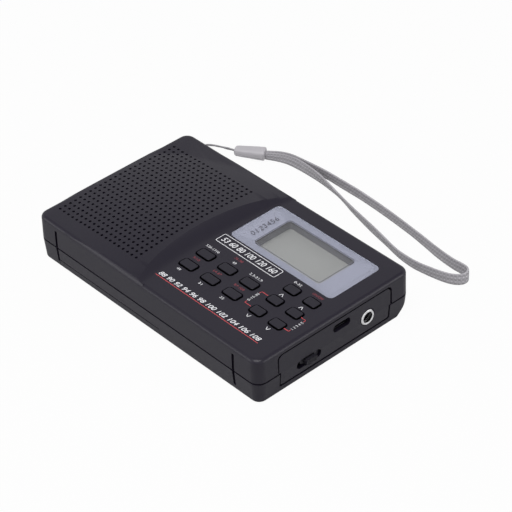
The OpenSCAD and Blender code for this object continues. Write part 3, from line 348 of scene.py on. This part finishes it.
def polished_acrylic():
    """Cast acrylic: clear and smooth, so the print below shows through and is lit as if bare."""
    made, tree, shader = begin(
        "polished acrylic",
        {"Base Color": linear("#f4f6f8"), "IOR": 1.49, "Roughness": 0.04, "Transmission Weight": 1.0},
    )
    clear = node(tree, "ShaderNodeBsdfTransparent")
    path = node(tree, "ShaderNodeLightPath")
    lights = node(
        tree,
        "ShaderNodeMath",
        {0: path.outputs["Is Shadow Ray"], 1: path.outputs["Is Diffuse Ray"]},
        operation="MAXIMUM",
    )
    both = node(
        tree,
        "ShaderNodeMixShader",
        {0: lights.outputs[0], 1: shader.outputs["BSDF"], 2: clear.outputs["BSDF"]},
    )
    end_with(tree, both)
    return made


def screen_ink(name, rgba):
    """Screen print: a thin matt film with slightly uneven cover."""
    made, tree, shader = begin(name, {"Roughness": 0.55, "IOR": 1.5})
    mottle(tree, shader, rgba, 0.8 * MM, 0.06)
    return made


def printed_film(rgba):
    """Grey film under the lens: satin, with the fine sparkle of a metallic ink."""
    made, tree, shader = begin("printed film", {"Roughness": 0.45, "IOR": 1.5})
    mottle(tree, shader, rgba, 0.5 * MM, 0.03)
    return made


def liquid_crystal(rgba):
    """Polariser film on glass: grey with a faint gloss and a slight drift of tone."""
    made, tree, shader = begin("liquid crystal polariser", {"Roughness": 0.35, "IOR": 1.5})
    mottle(tree, shader, rgba, 12 * MM, 0.025)
    return made


def bright_plate(name, code, rough, wear):
    """Plated metal: bright, with faint wipe marks along X in the gloss."""
    made, tree, shader = begin(name, {"Metallic": 1.0})
    place = mottle(tree, shader, linear(code), 6 * MM, 0.04)
    stretch = node(tree, "ShaderNodeMapping", {"Vector": place, "Scale": (0.15, 1.0, 1.0)})
    marks = node(
        tree,
        "ShaderNodeTexNoise",
        {"Vector": stretch.outputs["Vector"], "Scale": 1 / (0.6 * MM), "Detail": 4.0},
    )
    gloss = node(
        tree,
        "ShaderNodeMapRange",
        {"Value": marks.outputs["Fac"], "To Min": rough, "To Max": rough + wear},
    )
    tree.links.new(gloss.outputs["Result"], shader.inputs["Roughness"])
    return made


def plain_inner(name, code, rough, size, spread):
    """Inner pieces: one even stuff with a small drift of tone and gloss."""
    made, tree, shader = begin(name, {"IOR": 1.5})
    place = mottle(tree, shader, linear(code), size, spread)
    speck = node(tree, "ShaderNodeTexNoise", {"Vector": place, "Scale": 1 / (0.4 * MM), "Detail": 2.0})
    gloss = node(
        tree,
        "ShaderNodeMapRange",
        {"Value": speck.outputs["Fac"], "To Min": rough - 0.06, "To Max": rough + 0.06},
    )
    tree.links.new(gloss.outputs["Result"], shader.inputs["Roughness"])
    return made


def woven_polyester(rgba, pitch, fold):
    """Flat tubular braid: yarns cross at a steep angle, and long folds run with the strap; its colour is
    painted darker in their hollows and paler on their crests, as painted shade and highlight.

    Such yarns are about 0.8 mm apart; they are drawn wider, at the pitch given, so that they show.
    """
    made, tree, shader = begin(
        "woven polyester braid", {"IOR": 1.55, "Roughness": 0.6, "Sheen Weight": 0.25}
    )
    cloth = node(tree, "ShaderNodeTexCoord").outputs["UV"]
    lean = math.radians(35)
    yarns = []
    for turn in (lean, -lean):
        turned = node(tree, "ShaderNodeMapping", {"Vector": cloth, "Rotation": (0, 0, turn)})
        rows = node(
            tree,
            "ShaderNodeTexWave",
            {
                "Vector": turned.outputs["Vector"],
                "Scale": WAVE_LENGTH / pitch,
                "Distortion": 0.4,
                "Detail": 1.0,
            },
            wave_type="BANDS",
            bands_direction="X",
        )
        yarns.append(rows.outputs["Fac"])
    weave = node(tree, "ShaderNodeMath", {0: yarns[0], 1: yarns[1]}, operation="MULTIPLY")
    folds = node(
        tree,
        "ShaderNodeTexWave",
        {"Vector": cloth, "Scale": WAVE_LENGTH / fold, "Distortion": 2.0, "Detail Scale": 0.3},
        wave_type="BANDS",
        bands_direction="Y",
    )
    relief_and_shade = node(
        tree, "ShaderNodeMix", {"Factor": 0.5, "A": weave.outputs["Value"], "B": folds.outputs["Fac"]}
    ).outputs["Result"]
    # Painted shade and highlight: the colour darkens in the hollows of the yarns and folds and pales on
    # their crests
    tone = node(
        tree,
        "ShaderNodeMix",
        {"Factor": relief_and_shade, MIX_A: shade(rgba, 0.62), MIX_B: shade(rgba, 1.3)},
        data_type="RGBA",
    )
    bump = node(tree, "ShaderNodeBump", {"Height": relief_and_shade, "Strength": 0.5, "Distance": 0.25 * MM})
    tree.links.new(tone.outputs[MIX_OUT], shader.inputs["Base Color"])
    tree.links.new(bump.outputs["Normal"], shader.inputs["Normal"])
    return made


def twisted_string(rgba):
    """Thin laid string: slanting ridges along its length, 0.9 mm apart, drawn only in colour as painted
    shade in the grooves and painted highlight on the crests.
    """
    made, tree, shader = begin("laid polyester string", {"IOR": 1.55, "Roughness": 0.6})
    place = node(tree, "ShaderNodeTexCoord").outputs["Object"]
    ridge = node(
        tree,
        "ShaderNodeTexWave",
        {"Vector": place, "Scale": WAVE_LENGTH / (0.9 * MM), "Distortion": 1.0},
        wave_type="BANDS",
        bands_direction="DIAGONAL",
    )
    # Painted shade and highlight: darker in the grooves between strands, paler on the ridges
    tone = node(
        tree,
        "ShaderNodeMix",
        {"Factor": ridge.outputs["Fac"], MIX_A: shade(rgba, 0.75), MIX_B: shade(rgba, 1.15)},
        data_type="RGBA",
    )
    tree.links.new(tone.outputs[MIX_OUT], shader.inputs["Base Color"])
    return made


def wound_wire():
    """Enamelled copper wire laid turn by turn along X, 0.35 mm a turn, drawn at 0.7 mm to show; each turn
    is painted darker between turns and paler on its crest, as painted shade and highlight.
    """
    made, tree, shader = begin("enamelled copper winding", {"Metallic": 0.8, "Roughness": 0.3})
    place = node(tree, "ShaderNodeTexCoord").outputs["Object"]
    turns = node(
        tree,
        "ShaderNodeTexWave",
        {"Vector": place, "Scale": WAVE_LENGTH / (0.7 * MM)},
        wave_type="BANDS",
        bands_direction="X",
    ).outputs["Fac"]
    # Painted shade and highlight: dark copper between the turns, pale copper on their crests
    tone = node(
        tree,
        "ShaderNodeMix",
        {"Factor": turns, MIX_A: linear("#7a4420"), MIX_B: linear("#c07c45")},
        data_type="RGBA",
    )
    bump = node(tree, "ShaderNodeBump", {"Height": turns, "Strength": 0.7, "Distance": 0.1 * MM})
    tree.links.new(tone.outputs[MIX_OUT], shader.inputs["Base Color"])
    tree.links.new(bump.outputs["Normal"], shader.inputs["Normal"])
    return made


def circuit_laminate():
    """Solder mask over copper tracks: green, with paler runs where copper lies below."""
    made, tree, shader = begin("solder mask on laminate", {"IOR": 1.55, "Roughness": 0.3})
    tracks = node(
        tree,
        "ShaderNodeTexBrick",
        {
            "Vector": node(tree, "ShaderNodeTexCoord").outputs["Object"],
            "Color1": linear("#2c6a3b"),
            "Color2": linear("#2f7040"),
            "Mortar": linear("#3f8450"),
            "Scale": 1 / (8 * MM),
            "Mortar Size": 0.03,
        },
    )
    tree.links.new(tracks.outputs["Color"], shader.inputs["Base Color"])
    return made


def straight_rays(tree, seen, mirrored):
    """One share on camera rays, another on glossy and transmission rays, and none on the rest."""
    path = node(tree, "ShaderNodeLightPath")
    bent = node(
        tree,
        "ShaderNodeMath",
        {0: path.outputs["Is Glossy Ray"], 1: path.outputs["Is Transmission Ray"]},
        operation="MAXIMUM",
    )
    shares = []
    for ray, share in ((path.outputs["Is Camera Ray"], seen), (bent.outputs[0], mirrored)):
        part = node(tree, "ShaderNodeMath", {0: ray, 1: share}, operation="MULTIPLY")
        shares.append(part.outputs[0])
    both = node(tree, "ShaderNodeMath", {0: shares[0], 1: shares[1]}, operation="MAXIMUM")
    return both.outputs[0]


# Solids


def soft_shading(steepest):
    """Geometry nodes that merge loose triangles and shade them smooth up to an angle."""
    tree = bpy.data.node_groups.new("soft shading", "GeometryNodeTree")
    tree.interface.new_socket("Geometry", in_out="INPUT", socket_type="NodeSocketGeometry")
    tree.interface.new_socket("Geometry", in_out="OUTPUT", socket_type="NodeSocketGeometry")
    entry = node(tree, "NodeGroupInput").outputs[0]
    merged = node(tree, "GeometryNodeMergeByDistance", {"Geometry": entry, "Distance": WELD})
    turn = node(tree, "GeometryNodeInputMeshEdgeAngle").outputs["Unsigned Angle"]
    gentle = node(tree, "FunctionNodeCompare", {"A": turn, "B": steepest}, operation="LESS_EQUAL")
    faces = node(
        tree, "GeometryNodeSetShadeSmooth", {"Geometry": merged.outputs[0], "Shade Smooth": True}
    )
    edges = node(
        tree,
        "GeometryNodeSetShadeSmooth",
        {"Geometry": faces.outputs[0], "Shade Smooth": gentle.outputs["Result"]},
        domain="EDGE",
    )
    node(tree, "NodeGroupOutput", {0: edges.outputs[0]})
    return tree


SOFT = soft_shading(SMOOTH_UP_TO)


def dress(names, material, skin=0.0):
    """Gives CAD nodes a material, shades their curved faces smooth and can ease their edges."""
    for name in names:
        piece = NODES[name]
        for slot in piece.material_slots:
            slot.material = material
        piece.modifiers.new("soft shading", "NODES").node_group = SOFT
        if skin:
            facets = piece.modifiers.new("even facets", "REMESH")
            facets.mode = "VOXEL"
            facets.voxel_size = skin
            facets.use_smooth_shade = True
            ease = piece.modifiers.new("eased edges", "SMOOTH")
            ease.factor = 0.5
            ease.iterations = 22
        even = piece.modifiers.new("even normals", "WEIGHTED_NORMAL")
        even.keep_sharp = True


# Shapes


def select(*pieces):
    """Selects only these pieces, and makes the first of them active."""
    if bpy.context.mode != "OBJECT":
        bpy.ops.object.mode_set(mode="OBJECT")
    bpy.ops.object.select_all(action="DESELECT")
    for piece in pieces:
        piece.select_set(True)
    if pieces:
        bpy.context.view_layer.objects.active = pieces[0]


def settle(piece):
    """Writes a piece's place into its mesh."""
    select(piece)
    bpy.ops.object.transform_apply(location=True, rotation=True, scale=True)
    return piece


def face_outwards():
    """Turns the faces of the active piece outwards."""
    bpy.ops.object.mode_set(mode="EDIT")
    bpy.ops.mesh.select_all(action="SELECT")
    bpy.ops.mesh.normals_make_consistent(inside=False)
    bpy.ops.object.mode_set(mode="OBJECT")


def number(body, middle, height, z, ink, turn=0.0, bold=0.0, slant=0.0, width=None):
    """A printed number: text made a mesh, scaled to its height and laid on the surface."""
    select()
    bpy.ops.object.text_add()
    text = bpy.context.object
    text.data.body = body
    text.data.shear = slant
    text.data.offset = bold
    text.data.resolution_u = 4
    # Any depth serves here, because the scale below brings it to the ink's
    text.data.extrude = 0.01
    bpy.ops.object.convert(target="MESH")
    piece = bpy.context.object
    corners = [Vector(c) for c in piece.bound_box]
    low = Vector([min(c[i] for c in corners) for i in range(3)])
    high = Vector([max(c[i] for c in corners) for i in range(3)])
    tall = height / (high.y - low.y)
    wide = width / (high.x - low.x) if width else tall
    size = Vector((wide, tall, ink / (high.z - low.z)))
    centre = Vector([(low[i] + high[i]) / 2 * size[i] for i in range(3)])
    piece.scale = size
    piece.rotation_euler = (0, 0, turn)
    piece.location = Vector((*middle, z + ink / 2)) - Matrix.Rotation(turn, 3, "Z") @ centre
    return settle(piece)


def plate(wide, tall, corner, segments):
    """A flat plate with round corners, left in edit mode with all of it selected."""
    select()
    bpy.ops.mesh.primitive_plane_add(size=1)
    piece = bpy.context.object
    piece.scale = (wide, tall, 1)
    bpy.ops.object.transform_apply(location=False, rotation=False, scale=True)
    bpy.ops.object.mode_set(mode="EDIT")
    bpy.ops.mesh.select_all(action="SELECT")
    bpy.ops.mesh.bevel(offset=corner, segments=segments, affect="VERTICES")
    bpy.ops.mesh.select_all(action="SELECT")
    return piece


def raise_print(ink):
    """Gives the selected faces the ink's thickness, and leaves edit mode."""
    bpy.ops.mesh.extrude_region_move(TRANSFORM_OT_translate={"value": (0, 0, ink)})
    bpy.ops.object.mode_set(mode="OBJECT")


def stroke(start, end, width, z, ink):
    """A printed straight line with eased corners."""
    start, end = Vector((*start, 0)), Vector((*end, 0))
    run = end - start
    piece = plate(run.length + width, width, corner=width * 0.3, segments=2)
    raise_print(ink)
    piece.rotation_euler = (0, 0, math.atan2(run.y, run.x))
    piece.location = (start + end) / 2 + UP * z
    return settle(piece)


def frame_line(low, high, radius, width, z, ink):
    """A printed frame: a plate with round corners, inset and opened."""
    piece = plate(high[0] - low[0], high[1] - low[1], corner=radius, segments=5)
    bpy.ops.mesh.inset(thickness=width)
    bpy.ops.mesh.delete(type="FACE")
    bpy.ops.mesh.select_all(action="SELECT")
    raise_print(ink)
    piece.location = ((low[0] + high[0]) / 2, (low[1] + high[1]) / 2, z)
    return settle(piece)


def joined(pieces, name, material, body):
    """Joins pieces into one object with a material, and lets it ride on a body."""
    select(*pieces)
    whole = pieces[0]
    bpy.ops.object.join()
    whole.name = name
    whole.data.materials.clear()
    whole.data.materials.append(material)
    face_outwards()
    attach(whole, body)
    return whole


def flow(points, steps):
    """A smooth line through points of any dimension, with that many steps between two."""
    line = []
    last = len(points) - 1
    for i in range(last):
        near = (points[max(i - 1, 0)], points[i], points[i + 1], points[min(i + 2, last)])
        for k in range(steps):
            t = k / steps
            line.append(tuple(between(*values, t) for values in zip(*near)))
    return line + [tuple(points[last])]


def between(p, q, r, s, t):
    """A value between q and r on a smooth curve through p, q, r and s."""
    square = 2 * p - 5 * q + 4 * r - s
    cube = 3 * q - p - 3 * r + s
    return 0.5 * (2 * q + (r - p) * t + square * t**2 + cube * t**3)


def band_rings(width, thick):
    """The woven strap ring by ring: all corners, the rings' centres, and the length up to each."""
    route = flow(BAND_ROUTE, BAND_STEPS)
    flat = [Vector((p[0], p[1], 0)) * MM for p in route]
    last = len(flat) - 1
    corners, centres, along = [], [], [0.0]
    for i, place in enumerate(flat):
        ahead = (flat[min(i + 1, last)] - flat[max(i - 1, 0)]).normalized()
        side = UP.cross(ahead)
        lean = math.radians(route[i][2])
        broad = UP * math.cos(lean) + side * math.sin(lean)
        thin = side * math.cos(lean) - UP * math.sin(lean)
        rise = width / 2 * math.cos(lean) + thick / 2 * abs(math.sin(lean)) + BAND_LIFT
        tight = min(1, GATHER + (1 - GATHER) * min(i, last - i) / GATHER_STEPS)
        centre = place + UP * rise
        centres.append(centre)
        if i:
            along.append(along[-1] + (place - flat[i - 1]).length)
        corners += [centre + thin * (q[0] * thick) + broad * (q[1] * tight * width) for q in BAND_SHAPE]
    return corners, centres, along


def band_mesh(corners, along, width):
    """A closed mesh over the strap's rings, with a UV map in metres along and across it."""
    n = len(BAND_SHAPE)
    last = len(along) - 1
    faces, uvs = [], []
    for i in range(last):
        for k in range(n):
            ring = ((i, k), (i, (k + 1) % n), (i + 1, (k + 1) % n), (i + 1, k))
            faces.append(tuple(a * n + b for a, b in ring))
            uvs += [(along[a], BAND_SHAPE[b][1] * width) for a, b in ring]
    faces += [tuple(range(n))[::-1], tuple(range(last * n, (last + 1) * n))]
    uvs += [(0.0, 0.0)] * (2 * n)
    mesh = bpy.data.meshes.new("strap_woven_band")
    mesh.from_pydata(corners, [], faces)
    layer = mesh.uv_layers.new(name="weave")
    for corner, uv in zip(layer.data, uvs):
        corner.uv = uv
    mesh.polygons.foreach_set("use_smooth", [True] * len(mesh.polygons))
    return mesh


# Operators


class RECEIVER_OT_case(bpy.types.Operator):
    """Gives both shells, the battery door and the end plate their grained plastic"""

    bl_idname = "receiver.case"
    bl_label = "Case"

    def execute(self, context):
        colours, sizes = context.scene.receiver_colours, context.scene.receiver_sizes
        grained = moulded_abs("grained charcoal ABS", colours.case, sizes.grain, 0.4)
        dress(["front_case", "rear_case", "battery_door", "end_plate"], grained)
        return {"FINISHED"}


class RECEIVER_OT_keys(bpy.types.Operator):
    """Gives the keys and the slide switch their satin plastic, with painted shade on the keys' walls and
    a painted lift of light on the knob
    """

    bl_idname = "receiver.keys"
    bl_label = "Keys"

    def execute(self, context):
        colours, sizes = context.scene.receiver_colours, context.scene.receiver_sizes
        dress(KEY_NAMES, moulded_abs("satin key ABS", colours.keys, sizes.fine_grain, 0.42, KEY_SHADE_TOP))
        # The knob's paler plastic is painted light, standing in for the light its slot keeps off
        dress(["switch_slider"], moulded_abs("slider ABS", colours.slider, sizes.fine_grain, 0.42))
        return {"FINISHED"}


class RECEIVER_OT_display(bpy.types.Operator):
    """Finishes the lens, its mask, the liquid crystal panel and the holder"""

    bl_idname = "receiver.display"
    bl_label = "Display"

    def execute(self, context):
        colours, sizes = context.scene.receiver_colours, context.scene.receiver_sizes
        dress(["display_lens"], polished_acrylic())
        dress(["lens_mask"], printed_film(colours.mask))
        dress(["lcd_panel"], liquid_crystal(colours.display))
        dress(["lcd_holder"], moulded_abs("grey holder ABS", colours.holder, sizes.grain, 0.5))
        z, ink = LENS_HIGH.z, sizes.ink
        marks = []
        for i in range(LENS_DIGITS):
            x = LENS_LOW.x + LENS_DIGIT_FIRST[0] * MM
            y = LENS_LOW.y + (LENS_DIGIT_FIRST[1] + LENS_DIGIT_STEP * i) * MM
            marks.append(number(str(i), (x, y), sizes.digit, z, ink, turn=QUARTER_TURN, slant=0.2))
        low, high = [mm(*(RIM_MIDDLE[i] + side * RIM_HALF[i] for i in (0, 1))) for side in (-1, 1)]
        rim = frame_line(low, high, RIM_CORNER * MM, RIM_WIDTH * MM, z, ink)
        joined([*marks, rim], "lens_scale", screen_ink("dark lens ink", colours.dark_ink), "case")
        return {"FINISHED"}


class RECEIVER_OT_prints(bpy.types.Operator):
    """Prints plain numbers, arrows and lines on the panel"""

    bl_idname = "receiver.prints"
    bl_label = "Panel prints"

    def execute(self, context):
        colours, sizes = context.scene.receiver_colours, context.scene.receiver_sizes
        white = [*self.scales(sizes), *self.labels(WHITE_LABELS, sizes)]
        white += self.labels(UPRIGHT_LABELS, sizes, turn=QUARTER_TURN)
        white += self.arrows(sizes)
        red = self.red_lines(sizes)
        faint = self.labels(RED_LABELS, sizes, bold=-0.012)
        joined(white, "panel_prints_white", screen_ink("white panel ink", colours.white_ink), "case")
        joined(red, "panel_lines_red", screen_ink("red panel ink", colours.red_ink), "case")
        joined(faint, "panel_prints_red", screen_ink("dull red panel ink", colours.faint_ink), "case")
        return {"FINISHED"}

    def scales(self, sizes):
        """The framed scale and the dial along the near edge."""
        low, high = SCALE_FRAME
        pieces = [
            frame_line(mm(*low), mm(*high), SCALE_CORNER * MM, sizes.stroke, PANEL_Z, sizes.ink)
        ]
        for (body, x, y, wide), tall, slant in ((SCALE, sizes.band, 0.2), (DIAL, sizes.dial, 0.25)):
            pieces.append(
                number(body, mm(x, y), tall, PANEL_Z, sizes.ink, bold=0.01, slant=slant, width=wide * MM)
            )
        return pieces

    def labels(self, rows, sizes, **style):
        """Small numbers beside the keys."""
        return [
            number(body, mm(x, y), sizes.label, PANEL_Z, sizes.ink, width=wide * MM, **style)
            for body, x, y, wide in rows
        ]

    def arrows(self, sizes):
        """An arrow of two strokes beside each narrow key of the outer rows."""
        pieces = []
        for x in ARROW_COLUMNS:
            for y, way in ARROW_ROWS:
                tip = ARROW_HALF_TALL * way
                for side in (-ARROW_HALF_WIDE, ARROW_HALF_WIDE):
                    ends = mm(x + side, y - tip), mm(x, y + tip)
                    pieces.append(stroke(*ends, sizes.stroke, PANEL_Z, sizes.ink))
        return pieces

    def red_lines(self, sizes):
        """The line under the dial, and two strokes for each corner of the brackets."""
        lines = [DIAL_LINE]
        for x, arm in BRACKETS_X:
            for y, leg in BRACKETS_Y:
                lines += [((x, y), (arm, y)), ((x, y), (x, leg))]
        return [stroke(mm(*a), mm(*b), sizes.stroke, PANEL_Z, sizes.ink) for a, b in lines]


class RECEIVER_OT_sockets(bpy.types.Operator):
    """Finishes the headphone socket, the charging socket and the slide switch's body"""

    bl_idname = "receiver.sockets"
    bl_label = "Sockets"

    def execute(self, context):
        dress(["jack_ring"], bright_plate("chromed brass", "#f0f0f2", 0.15, 0.1))
        # The socket shell's steel is darkened as painted shade for the inside of the charging socket; the
        # switch body shares it
        dress(["usb_shell", "switch_body"], bright_plate("steel darkened as painted shade", "#6c6c72", 0.3, 0.15))
        dress(["jack_body", "usb_tongue"], plain_inner("black nylon", "#1b1b1e", 0.5, 4 * MM, 0.08))
        return {"FINISHED"}


class RECEIVER_OT_speaker(bpy.types.Operator):
    """Finishes the loudspeaker behind the grille"""

    bl_idname = "receiver.speaker"
    bl_label = "Loudspeaker"

    def execute(self, context):
        dress(["speaker_frame"], plain_inner("black coated steel", "#222225", 0.45, 6 * MM, 0.06))
        dress(["speaker_cone"], plain_inner("pressed paper", "#0a0a0b", 0.9, 1.2 * MM, 0.2))
        dress(["speaker_magnet"], bright_plate("nickel plate", "#9a9a9f", 0.3, 0.15))
        return {"FINISHED"}


class RECEIVER_OT_inside(bpy.types.Operator):
    """Finishes the board, the ferrite aerial, the battery and the screws"""

    bl_idname = "receiver.inside"
    bl_label = "Inside"

    def execute(self, context):
        dress(["main_board"], circuit_laminate())
        dress(["board_chips"], plain_inner("moulded epoxy", "#232326", 0.5, 2 * MM, 0.08))
        dress(["key_switches"], plain_inner("black switch nylon", "#2c2c30", 0.5, 2 * MM, 0.08))
        dress(["lcd_connector_strips"], plain_inner("layered rubber", "#b98080", 0.7, 0.5 * MM, 0.25))
        dress(["board_screws", "case_screws"], bright_plate("zinc plated steel", "#85858b", 0.3, 0.2))
        dress(["ferrite_rod"], plain_inner("sintered ferrite", "#3a393f", 0.65, 1.5 * MM, 0.15))
        dress(["ferrite_coil"], wound_wire())
        dress(["battery_pack"], plain_inner("shrink sleeve", "#56637a", 0.35, 10 * MM, 0.05))
        dress(["battery_contacts"], bright_plate("gilt contact", "#d0a94a", 0.2, 0.1))
        return {"FINISHED"}


class RECEIVER_OT_whip(bpy.types.Operator):
    """Gives the telescopic whip its bright plating"""

    bl_idname = "receiver.whip"
    bl_label = "Whip"

    def execute(self, context):
        tubes = [name for name in NODES if name.startswith("whip_tube")]
        dress([*tubes, "whip_tip", "whip_knuckle"], bright_plate("chromed tube", "#d9d9de", 0.1, 0.1))
        dress(["whip_bracket", "whip_pin"], bright_plate("nickelled steel", "#b5b5ba", 0.25, 0.15))
        return {"FINISHED"}


class RECEIVER_OT_strap(bpy.types.Operator):
    """Makes the string and the woven strap, and finishes the ferrule"""

    bl_idname = "receiver.strap"
    bl_label = "Wrist strap"

    def execute(self, context):
        colours, sizes = context.scene.receiver_colours, context.scene.receiver_sizes
        vinyl = moulded_abs("pale ferrule vinyl", colours.ferrule, sizes.grain, 0.4)
        dress(["strap_ferrule"], vinyl, sizes.skin)
        self.string(colours, sizes)
        self.band(colours, sizes)
        return {"FINISHED"}

    def string(self, colours, sizes):
        """A round curve along the route, with both ends run into the ferrule."""
        low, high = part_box("strap_ferrule")
        middle = (low + high) / 2
        route = [Vector(p) * MM for p in STRING_ROUTE]
        first, last = [end + (middle - end).normalized() * sizes.grip for end in (route[0], route[-1])]
        line = flow([first, *route, last], STRING_STEPS)
        data = bpy.data.curves.new("strap_thin_string", "CURVE")
        data.dimensions = "3D"
        data.bevel_depth = STRING_RADIUS
        data.bevel_resolution = 3
        data.use_fill_caps = True
        spline = data.splines.new("POLY")
        spline.points.add(len(line) - 1)
        for point, place in zip(spline.points, line):
            point.co = (*place, 1)
        piece = bpy.data.objects.new("strap_thin_string", data)
        bpy.context.scene.collection.objects.link(piece)
        data.materials.append(twisted_string(colours.string))
        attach(piece, "case")
        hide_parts("strap_string")

    def band(self, colours, sizes):
        """A flat tube along the route, leaning as the route says and gathered at the ferrule."""
        corners, centres, along = band_rings(sizes.strap, sizes.thick)
        mesh = band_mesh(corners, along, sizes.strap)
        mesh.materials.append(woven_polyester(colours.strap, sizes.braid, sizes.fold))
        piece = bpy.data.objects.new("strap_woven_band", mesh)
        bpy.context.scene.collection.objects.link(piece)
        select(piece)
        face_outwards()
        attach(piece, "case")
        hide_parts("strap_webbing")


class RECEIVER_OT_stage(bpy.types.Operator):
    """Sets the floor, the lamps, the world and the camera"""

    bl_idname = "receiver.stage"
    bl_label = "Stage"

    def execute(self, context):
        scene = context.scene
        scene.view_settings.view_transform = "Standard"
        self.floor(scene.receiver_colours.floor)
        self.lamps(scene)
        self.world(scene)
        self.camera(scene)
        return {"FINISHED"}

    def floor(self, rgba):
        """A pale floor that looks white and keeps a faint shadow."""
        select()
        bpy.ops.mesh.primitive_plane_add(size=FLOOR_SIDE, location=(0, 0, FLOOR_Z))
        floor = bpy.context.object
        floor.name = "pale_floor"
        made, tree, shader = begin("pale paper sweep", {"Base Color": rgba, "Roughness": 0.9})
        white = node(tree, "ShaderNodeEmission", {"Color": (1, 1, 1, 1), "Strength": 1.0})
        share = straight_rays(tree, FLOOR_SEEN, FLOOR_MIRRORED)
        both = node(
            tree,
            "ShaderNodeMixShader",
            {0: share, 1: shader.outputs["BSDF"], 2: white.outputs["Emission"]},
        )
        end_with(tree, both)
        floor.data.materials.append(made)

    def lamps(self, scene):
        """Softboxes turned to the receiver."""
        for name, place, size, power in SOFTBOXES:
            data = bpy.data.lights.new(name, "AREA")
            data.size = size
            data.energy = power
            lamp = bpy.data.objects.new(name, data)
            lamp.location = place
            lamp.rotation_euler = (-Vector(place)).to_track_quat("-Z", "Y").to_euler()
            scene.collection.objects.link(lamp)

    def world(self, scene):
        """A white studio to the camera, with bright walls and a dark ceiling in gloss."""
        world = bpy.data.worlds.new("white studio")
        scene.world = world
        world.use_nodes = True
        tree = world.node_tree
        tree.nodes.clear()
        way = node(tree, "ShaderNodeTexCoord").outputs["Generated"]
        height = node(tree, "ShaderNodeSeparateXYZ", {0: way}).outputs["Z"]
        walls = node(
            tree,
            "ShaderNodeMapRange",
            {
                "Value": height,
                "From Min": WALL_HEIGHTS[0],
                "From Max": WALL_HEIGHTS[1],
                "To Min": WALL_LEVELS[0],
                "To Max": WALL_LEVELS[1],
            },
        )
        mirrored = node(
            tree,
            "ShaderNodeMath",
            {0: straight_rays(tree, 0.0, 1.0), 1: walls.outputs["Result"]},
            operation="MULTIPLY",
        )
        seen = node(
            tree,
            "ShaderNodeMath",
            {0: straight_rays(tree, 1.0, 0.0), 1: mirrored.outputs[0]},
            operation="MAXIMUM",
        )
        level = node(tree, "ShaderNodeMath", {0: seen.outputs[0], 1: AMBIENT}, operation="MAXIMUM")
        sky = node(tree, "ShaderNodeBackground", {"Color": (1, 1, 1, 1), "Strength": level.outputs[0]})
        node(tree, "ShaderNodeOutputWorld", {"Surface": sky.outputs["Background"]})

    def camera(self, scene):
        """The camera at its turn, height and distance, rolled and shifted."""
        view = scene.receiver_view
        az, el = view.azimuth, view.elevation
        back = Vector((math.sin(az) * math.cos(el), -math.cos(az) * math.cos(el), math.sin(el)))
        level = Vector((math.cos(az), math.sin(az), 0))
        upright = back.cross(level)
        right = math.cos(view.roll) * level + math.sin(view.roll) * upright
        up = math.cos(view.roll) * upright - math.sin(view.roll) * level
        data = bpy.data.cameras.new("camera")
        data.sensor_width = SENSOR
        data.lens = view.lens
        data.clip_start = 0.01
        camera = bpy.data.objects.new("camera", data)
        place = back * view.distance + right * view.across + up * view.rise
        camera.matrix_world = Matrix.Translation(place) @ Matrix((right, up, back)).transposed().to_4x4()
        scene.collection.objects.link(camera)
        scene.camera = camera


class RECEIVER_PT_looks(bpy.types.Panel):
    """Lists the receiver's finishes and the steps that make them"""

    bl_idname = "RECEIVER_PT_looks"
    bl_label = "Receiver"
    bl_space_type = "VIEW_3D"
    bl_region_type = "UI"
    bl_category = "Receiver"

    def draw(self, context):
        for step in STEPS:
            self.layout.operator(step.bl_idname)
        for group_name in GROUPS:
            group = getattr(context.scene, group_name)
            box = self.layout.box()
            for name in group.__annotations__:
                box.prop(group, name)


GROUPS = {
    "receiver_colours": ReceiverColours,
    "receiver_sizes": ReceiverSizes,
    "receiver_view": ReceiverView,
}
STEPS = (
    RECEIVER_OT_case,
    RECEIVER_OT_keys,
    RECEIVER_OT_display,
    RECEIVER_OT_prints,
    RECEIVER_OT_sockets,
    RECEIVER_OT_speaker,
    RECEIVER_OT_inside,
    RECEIVER_OT_whip,
    RECEIVER_OT_strap,
    RECEIVER_OT_stage,
)


def register():
    """Registers the settings, the operators and the panel."""
    for cls in (*GROUPS.values(), *STEPS, RECEIVER_PT_looks):
        bpy.utils.register_class(cls)
    for name, cls in GROUPS.items():
        setattr(bpy.types.Scene, name, PointerProperty(type=cls))


def unregister():
    """Takes away what register added."""
    for name in GROUPS:
        delattr(bpy.types.Scene, name)
    for cls in (RECEIVER_PT_looks, *reversed(STEPS), *reversed(GROUPS.values())):
        bpy.utils.unregister_class(cls)


def main():
    """Registers the add-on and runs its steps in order."""
    register()
    for step in STEPS:
        group, name = step.bl_idname.split(".")
        getattr(getattr(bpy.ops, group), name)()


if __name__ == "__main__":
    main()
